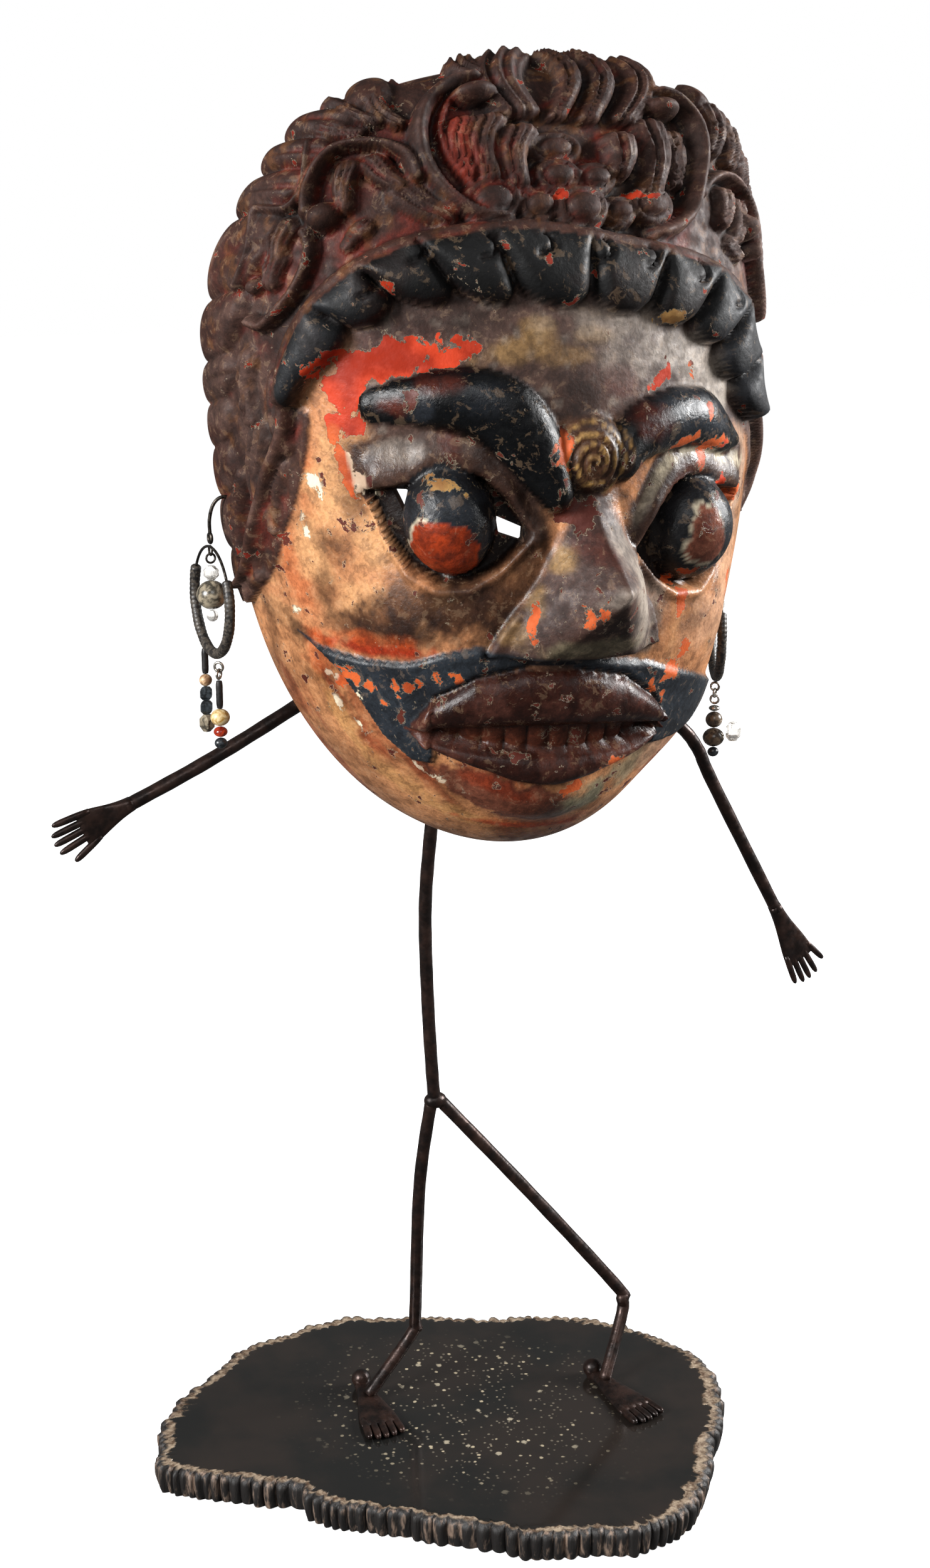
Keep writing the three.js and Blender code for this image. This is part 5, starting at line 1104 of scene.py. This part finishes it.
# Earrings: wire thicknesses, outer size of the links, how far the hook's end sits in the hair
HOOK_WIRE, HOOP_TUBE, HOOP_WIRE, HOOK_LOOP, IN_HAIR = 1.5, 4.4, 1.2, 3.6, 6.5
HOOP_RADIUS = 21
COVERED = 0.33 * PI
HANGING_GAP = 0.3
SLIM = 0.95
# Finishes: two tones, size of the blotches in millimetres, roughness, metal, index of refraction, clearness
FINISHES = {
    "aged_iron_wire": ("#2b2724", "#57514a", 2, 0.36, 0.9),  # thin dark wire with a dull metal glint
    "wrapped_waxed_cord": ("#1a1716", "#4b443c", 1.6, 0.42),  # close turns of cord with a waxy sheen
    "tinned_wire": ("#8d877e", "#d9d4ca", 1.5, 0.26, 0.95),  # bright rings with sharp glints
    "black_rubber_tube": ("#0e0d0d", "#1e1b1a", 3, 0.4),  # a soft dark sleeve with hardly any shine
    "cut_rock_crystal": ("#e9e5de", "#fbf9f5", 2, 0.06, 0.0, 1.54, 0.75),  # clear facets that catch light
    "mottled_moss_agate": ("#3a362e", "#9b8f7a", 3.5, 0.24),  # cloudy brown and grey under a polish
    "fired_cream_clay": ("#c9a883", "#7d5c40", 3, 0.35),  # cream, browned in the firing
    "black_glazed_clay": ("#131517", "#32373b", 2.5, 0.25),  # blue black with soft highlights
    "ochre_glazed_clay": ("#d9c596", "#a47d3e", 3.2, 0.26),  # cream and honey under a glaze
    "red_lacquer": ("#b33a1c", "#6e1a10", 2.4, 0.2),  # deep red and very glossy
    "brown_horn": ("#2c221b", "#6b5a48", 3, 0.24),  # warm brown clouds with a satin polish
}
# What hangs from each hoop: solid, shape, finish, slot. A number is of facets, and a chain's is of its rings.
HANGING = [
    ("left_crystal_bead", ("cut", 8), "cut_rock_crystal", "clear_glass"),
    ("left_agate_bead", ("round",), "mottled_moss_agate", "mottled_stone"),
    ("left_clear_bead", ("round",), "cut_rock_crystal", "clear_glass"),
    ("left_back_tube", ("sleeve",), "black_rubber_tube", "black_tube"),
    ("left_cream_bead", ("round",), "fired_cream_clay", "cream_bead"),
    ("left_upper_cube_bead", ("cut", 4), "black_glazed_clay", "dark_bead"),
    ("left_lower_cube_bead", ("cut", 4), "black_glazed_clay", "dark_bead"),
    ("left_faceted_bead", ("cut", 6), "mottled_moss_agate", "mottled_stone"),
    ("left_front_tube", ("sleeve",), "black_rubber_tube", "black_tube"),
    ("left_gold_bead", ("round",), "ochre_glazed_clay", "gold_bead"),
    ("left_red_bead", ("round",), "red_lacquer", "red_bead"),
    ("left_jet_bead", ("round",), "black_glazed_clay", "dark_bead"),
    ("left_front_links", ("wire", 2), "tinned_wire", "bright_links"),
    ("right_links", ("wire", 3), "tinned_wire", "bright_links"),
    ("right_crystal_bead", ("cut", 8), "cut_rock_crystal", "clear_glass"),
    ("right_clear_bead", ("round",), "cut_rock_crystal", "clear_glass"),
    ("right_cap", ("round",), "tinned_wire", "bright_links"),
    ("right_smoke_bead", ("round",), "brown_horn", "smoke_bead"),
    ("right_dark_bead", ("round",), "brown_horn", "smoke_bead"),
    ("right_jet_bead", ("round",), "black_glazed_clay", "dark_bead"),
    ("right_glass_bead", ("cut", 7), "cut_rock_crystal", "clear_glass"),
]


def upright_arc(middle, radius, turn, angles):
    across = radius * np.sin(angles)
    return np.stack([middle[0] - across * math.sin(turn), middle[1] + across * math.cos(turn),
                     middle[2] + radius * np.cos(angles)], -1)


def link_ring(at, diameter, half, turn):
    path = upright_arc(at, diameter / 2, turn, full_turn(20))
    return lofted(along_path(path, np.full(20, half), sides=8, closed=True), closed=True)


def chain_shape(at, top, count, diameter, wire, turn):
    shapes = []
    for i in range(count):
        z = top - (diameter + wire) / 2 - i * (diameter - wire * 0.6)
        shapes.append(link_ring((at[0], at[1], z), diameter, wire / 2 * SLIM, turn + PI / 2 * (i % 2)))
    return shapes


def cut_shape(at, half, facets):
    """Two rings of facets' corners at the waist, turned against the smaller ones at the ends."""
    rings = []
    for up, k, lean in ((-1, 0.5, 0), (-0.45, 1, 0.4), (0.45, 1, 0.4), (1, 0.5, 0)):
        rings.append(flat_ring(at, half[0] * k, half[1] * k, full_turn(facets) + lean, half[2] * up))
    return lofted(rings)


def sleeve_shape(at, half):
    path = [at + np.array([0, 0, half[2] * v]) for v in np.linspace(-1, 1, 9)]
    widths = half[0] * np.array([0.8, 0.97, 1, 0.98, 1, 0.97, 1, 0.97, 0.8])
    return lofted(along_path(path, widths, sides=16))


def hanging_piece(name, shape, finish, slot):
    """A bead, sleeve or chain in place of the solid's, as large as its box."""
    kind, *count = shape
    low, high = (np.array(corner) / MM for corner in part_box(name))
    at, half = (low + high) / 2, (high - low) / 2
    if kind == "cut":
        points, faces = cut_shape(at, half, *count)
    elif kind == "sleeve":
        points, faces = sleeve_shape(at, half)
    elif kind == "wire":
        points, faces = joined(chain_shape(at, at[2] + half[2], *count, HOOK_LOOP, HOOP_WIRE, PI / 4))
    else:
        points, faces = ball_shape(at, half)
    sharp = {"cut": 10, "sleeve": 50}.get(kind)
    mesh_piece(name + "_" + kind, points, faces, finish, slot, (name,), sharp)


def earring_top(prefix, edge, outward, off, turn, wire, wrap):
    hang = np.array([edge[0] + outward * off, edge[1] - 3, edge[2] - 6])
    bends = [(-outward * (off + IN_HAIR), -2, 7.5), (-outward * (off + 1.5), -2, 7.5),
             (-outward * 1.2, -1, 4.5), (0, 0, -1), (0, 0, -6.5)]
    hook = [hang + bend for bend in bends]
    loop_at = hook[-1] - (0, 0, HOOK_LOOP / 2)
    half = HOOK_WIRE / 2 * SLIM
    shapes = [rod_shape(hook, half), link_ring(loop_at, HOOK_LOOP, half, turn)]
    mesh_piece(prefix + "ear_wire", *joined(shapes), wire, "hook_wire", (prefix + "hook",))
    top = loop_at[2] - HOOK_LOOP / 2 - HOOK_WIRE / 2 - HANGING_GAP
    middle = np.array([hang[0], hang[1], top - HOOP_WIRE / 2 - HOOP_RADIUS])
    arc = upright_arc(middle, HOOP_RADIUS, turn, np.linspace(-COVERED, COVERED, 30))
    bare = lofted(along_path(arc, np.full(30, HOOP_WIRE / 2 * SLIM), sides=10))
    links = chain_shape(hang, middle[2] + HOOP_RADIUS + HOOP_WIRE * 0.7, 2, HOOK_LOOP, HOOP_WIRE * 0.8, turn)
    mesh_piece(prefix + "hoop_bare_wire", *joined([bare] + links), wire, "hook_wire", (prefix + "hoop_wire",))
    count = 240
    arc = upright_arc(middle, HOOP_RADIUS, turn, np.linspace(COVERED, 2 * PI - COVERED, count))
    place = np.arange(count)
    coil = HOOP_TUBE / 2 * (0.9 + 0.07 * np.abs(np.sin(place * PI / 5)) + 0.025 * np.sin(place * 0.21))
    coil[:3] *= (0.45, 0.8, 0.95)
    coil[-3:] *= (0.95, 0.8, 0.45)
    mesh_piece(prefix + "wrapped_hoop", *lofted(along_path(arc, coil, sides=14)), wrap, "hoop_tube",
               (prefix + "hoop",))


def make_earrings():
    finishes = {name: glossy(name, *look) for name, look in FINISHES.items()}
    tops = (finishes["aged_iron_wire"], finishes["wrapped_waxed_cord"])
    left_edge, right_edge = (mask_point(*(np.array(v) for v in place))
                             for place in ((-0.998, -0.02, 6 * UNIT), (0.98, -0.24, 5 * UNIT)))
    earring_top("earring_left_", left_edge, -1, 2.5, 0, *tops)
    earring_top("earring_right_", right_edge, 1, 14, math.radians(-25), *tops)
    for name, shape, finish, slot in HANGING:
        hanging_piece("earring_" + name, shape, finishes[finish], slot)


# Floor, light, camera. Softboxes: place and side in metres, power in watts
SOFTBOXES = [("left", (-1.7, -0.5, 1.0), 0.7, 62), ("right", (1.6, -0.4, 0.95), 0.7, 72),
             ("front", (-0.5, -1.7, 1.6), 0.8, 9)]
LIT_PLACE = (0, -0.05, 0.4)
FLOOR_HALF = 6.0


def make_stage():
    """A floor that only the camera sees, and soft light from both sides with a little from the front."""
    floor, tree = material("pale_studio_floor")
    shader = node(tree, "BsdfPrincipled", {"Base Color": "#f4f4f4", "Roughness": 0.9,
                                           "Emission Color": (1, 1, 1, 1), "Emission Strength": 0.85})
    node(tree, "OutputMaterial", {"Surface": shader})
    corners = [(x * FLOOR_HALF, y * FLOOR_HALF, 0) for x, y in ((-1, -1), (1, -1), (1, 1), (-1, 1))]
    mesh = bpy.data.meshes.new("studio_floor")
    mesh.from_pydata(corners, [], [(0, 1, 2, 3)])
    mesh.materials.append(floor)
    made = link_to_scene(bpy.data.objects.new("studio_floor", mesh))
    made.location.z = -0.0005
    made.visible_diffuse = False
    made.visible_glossy = False
    world = bpy.data.worlds.new("white_studio")
    world.use_nodes = True
    tree = world.node_tree
    back = next(n for n in tree.nodes if n.type == "BACKGROUND")
    back.inputs[0].default_value = (1, 1, 1, 1)
    seen = node(tree, "LightPath", out="Is Camera Ray")
    tree.links.new(node(tree, "MapRange", (seen, 0.0, 1.0, 0.16, 1.0), **SOFT), back.inputs[1])
    bpy.context.scene.world = world
    for name, place, size, power in SOFTBOXES:
        light = bpy.data.lights.new(name + "_softbox", "AREA")
        light.size = size
        light.energy = power
        lamp = link_to_scene(bpy.data.objects.new(name + "_softbox", light))
        lamp.location = place
        lamp.rotation_mode = "QUATERNION"
        lamp.rotation_quaternion = (Vector(LIT_PLACE) - Vector(place)).to_track_quat("-Z", "Y")


def make_camera():
    """Stands to the viewer's left of the face and looks down a little."""
    camera = bpy.data.cameras.new("camera")
    camera.sensor_width = 36
    camera.lens = 52.09
    made = bpy.data.objects.new("camera", camera)
    made.location = (-0.38796, -0.84788, 0.589)
    azimuth, pitch = math.radians(-25), math.radians(-16)
    level_run = math.cos(pitch)
    ahead = Vector((-math.sin(azimuth) * level_run, math.cos(azimuth) * level_run, math.sin(pitch)))
    made.rotation_mode = "QUATERNION"
    made.rotation_quaternion = ahead.to_track_quat("-Z", "Y")
    bpy.context.scene.camera = link_to_scene(made)


make_camera()
make_stage()
make_mask(old_paint(), bare_wood())
make_figure(forged_steel())
make_slab(polished_stone())
make_earrings()

bpy.context.scene.view_settings.view_transform = "Standard"
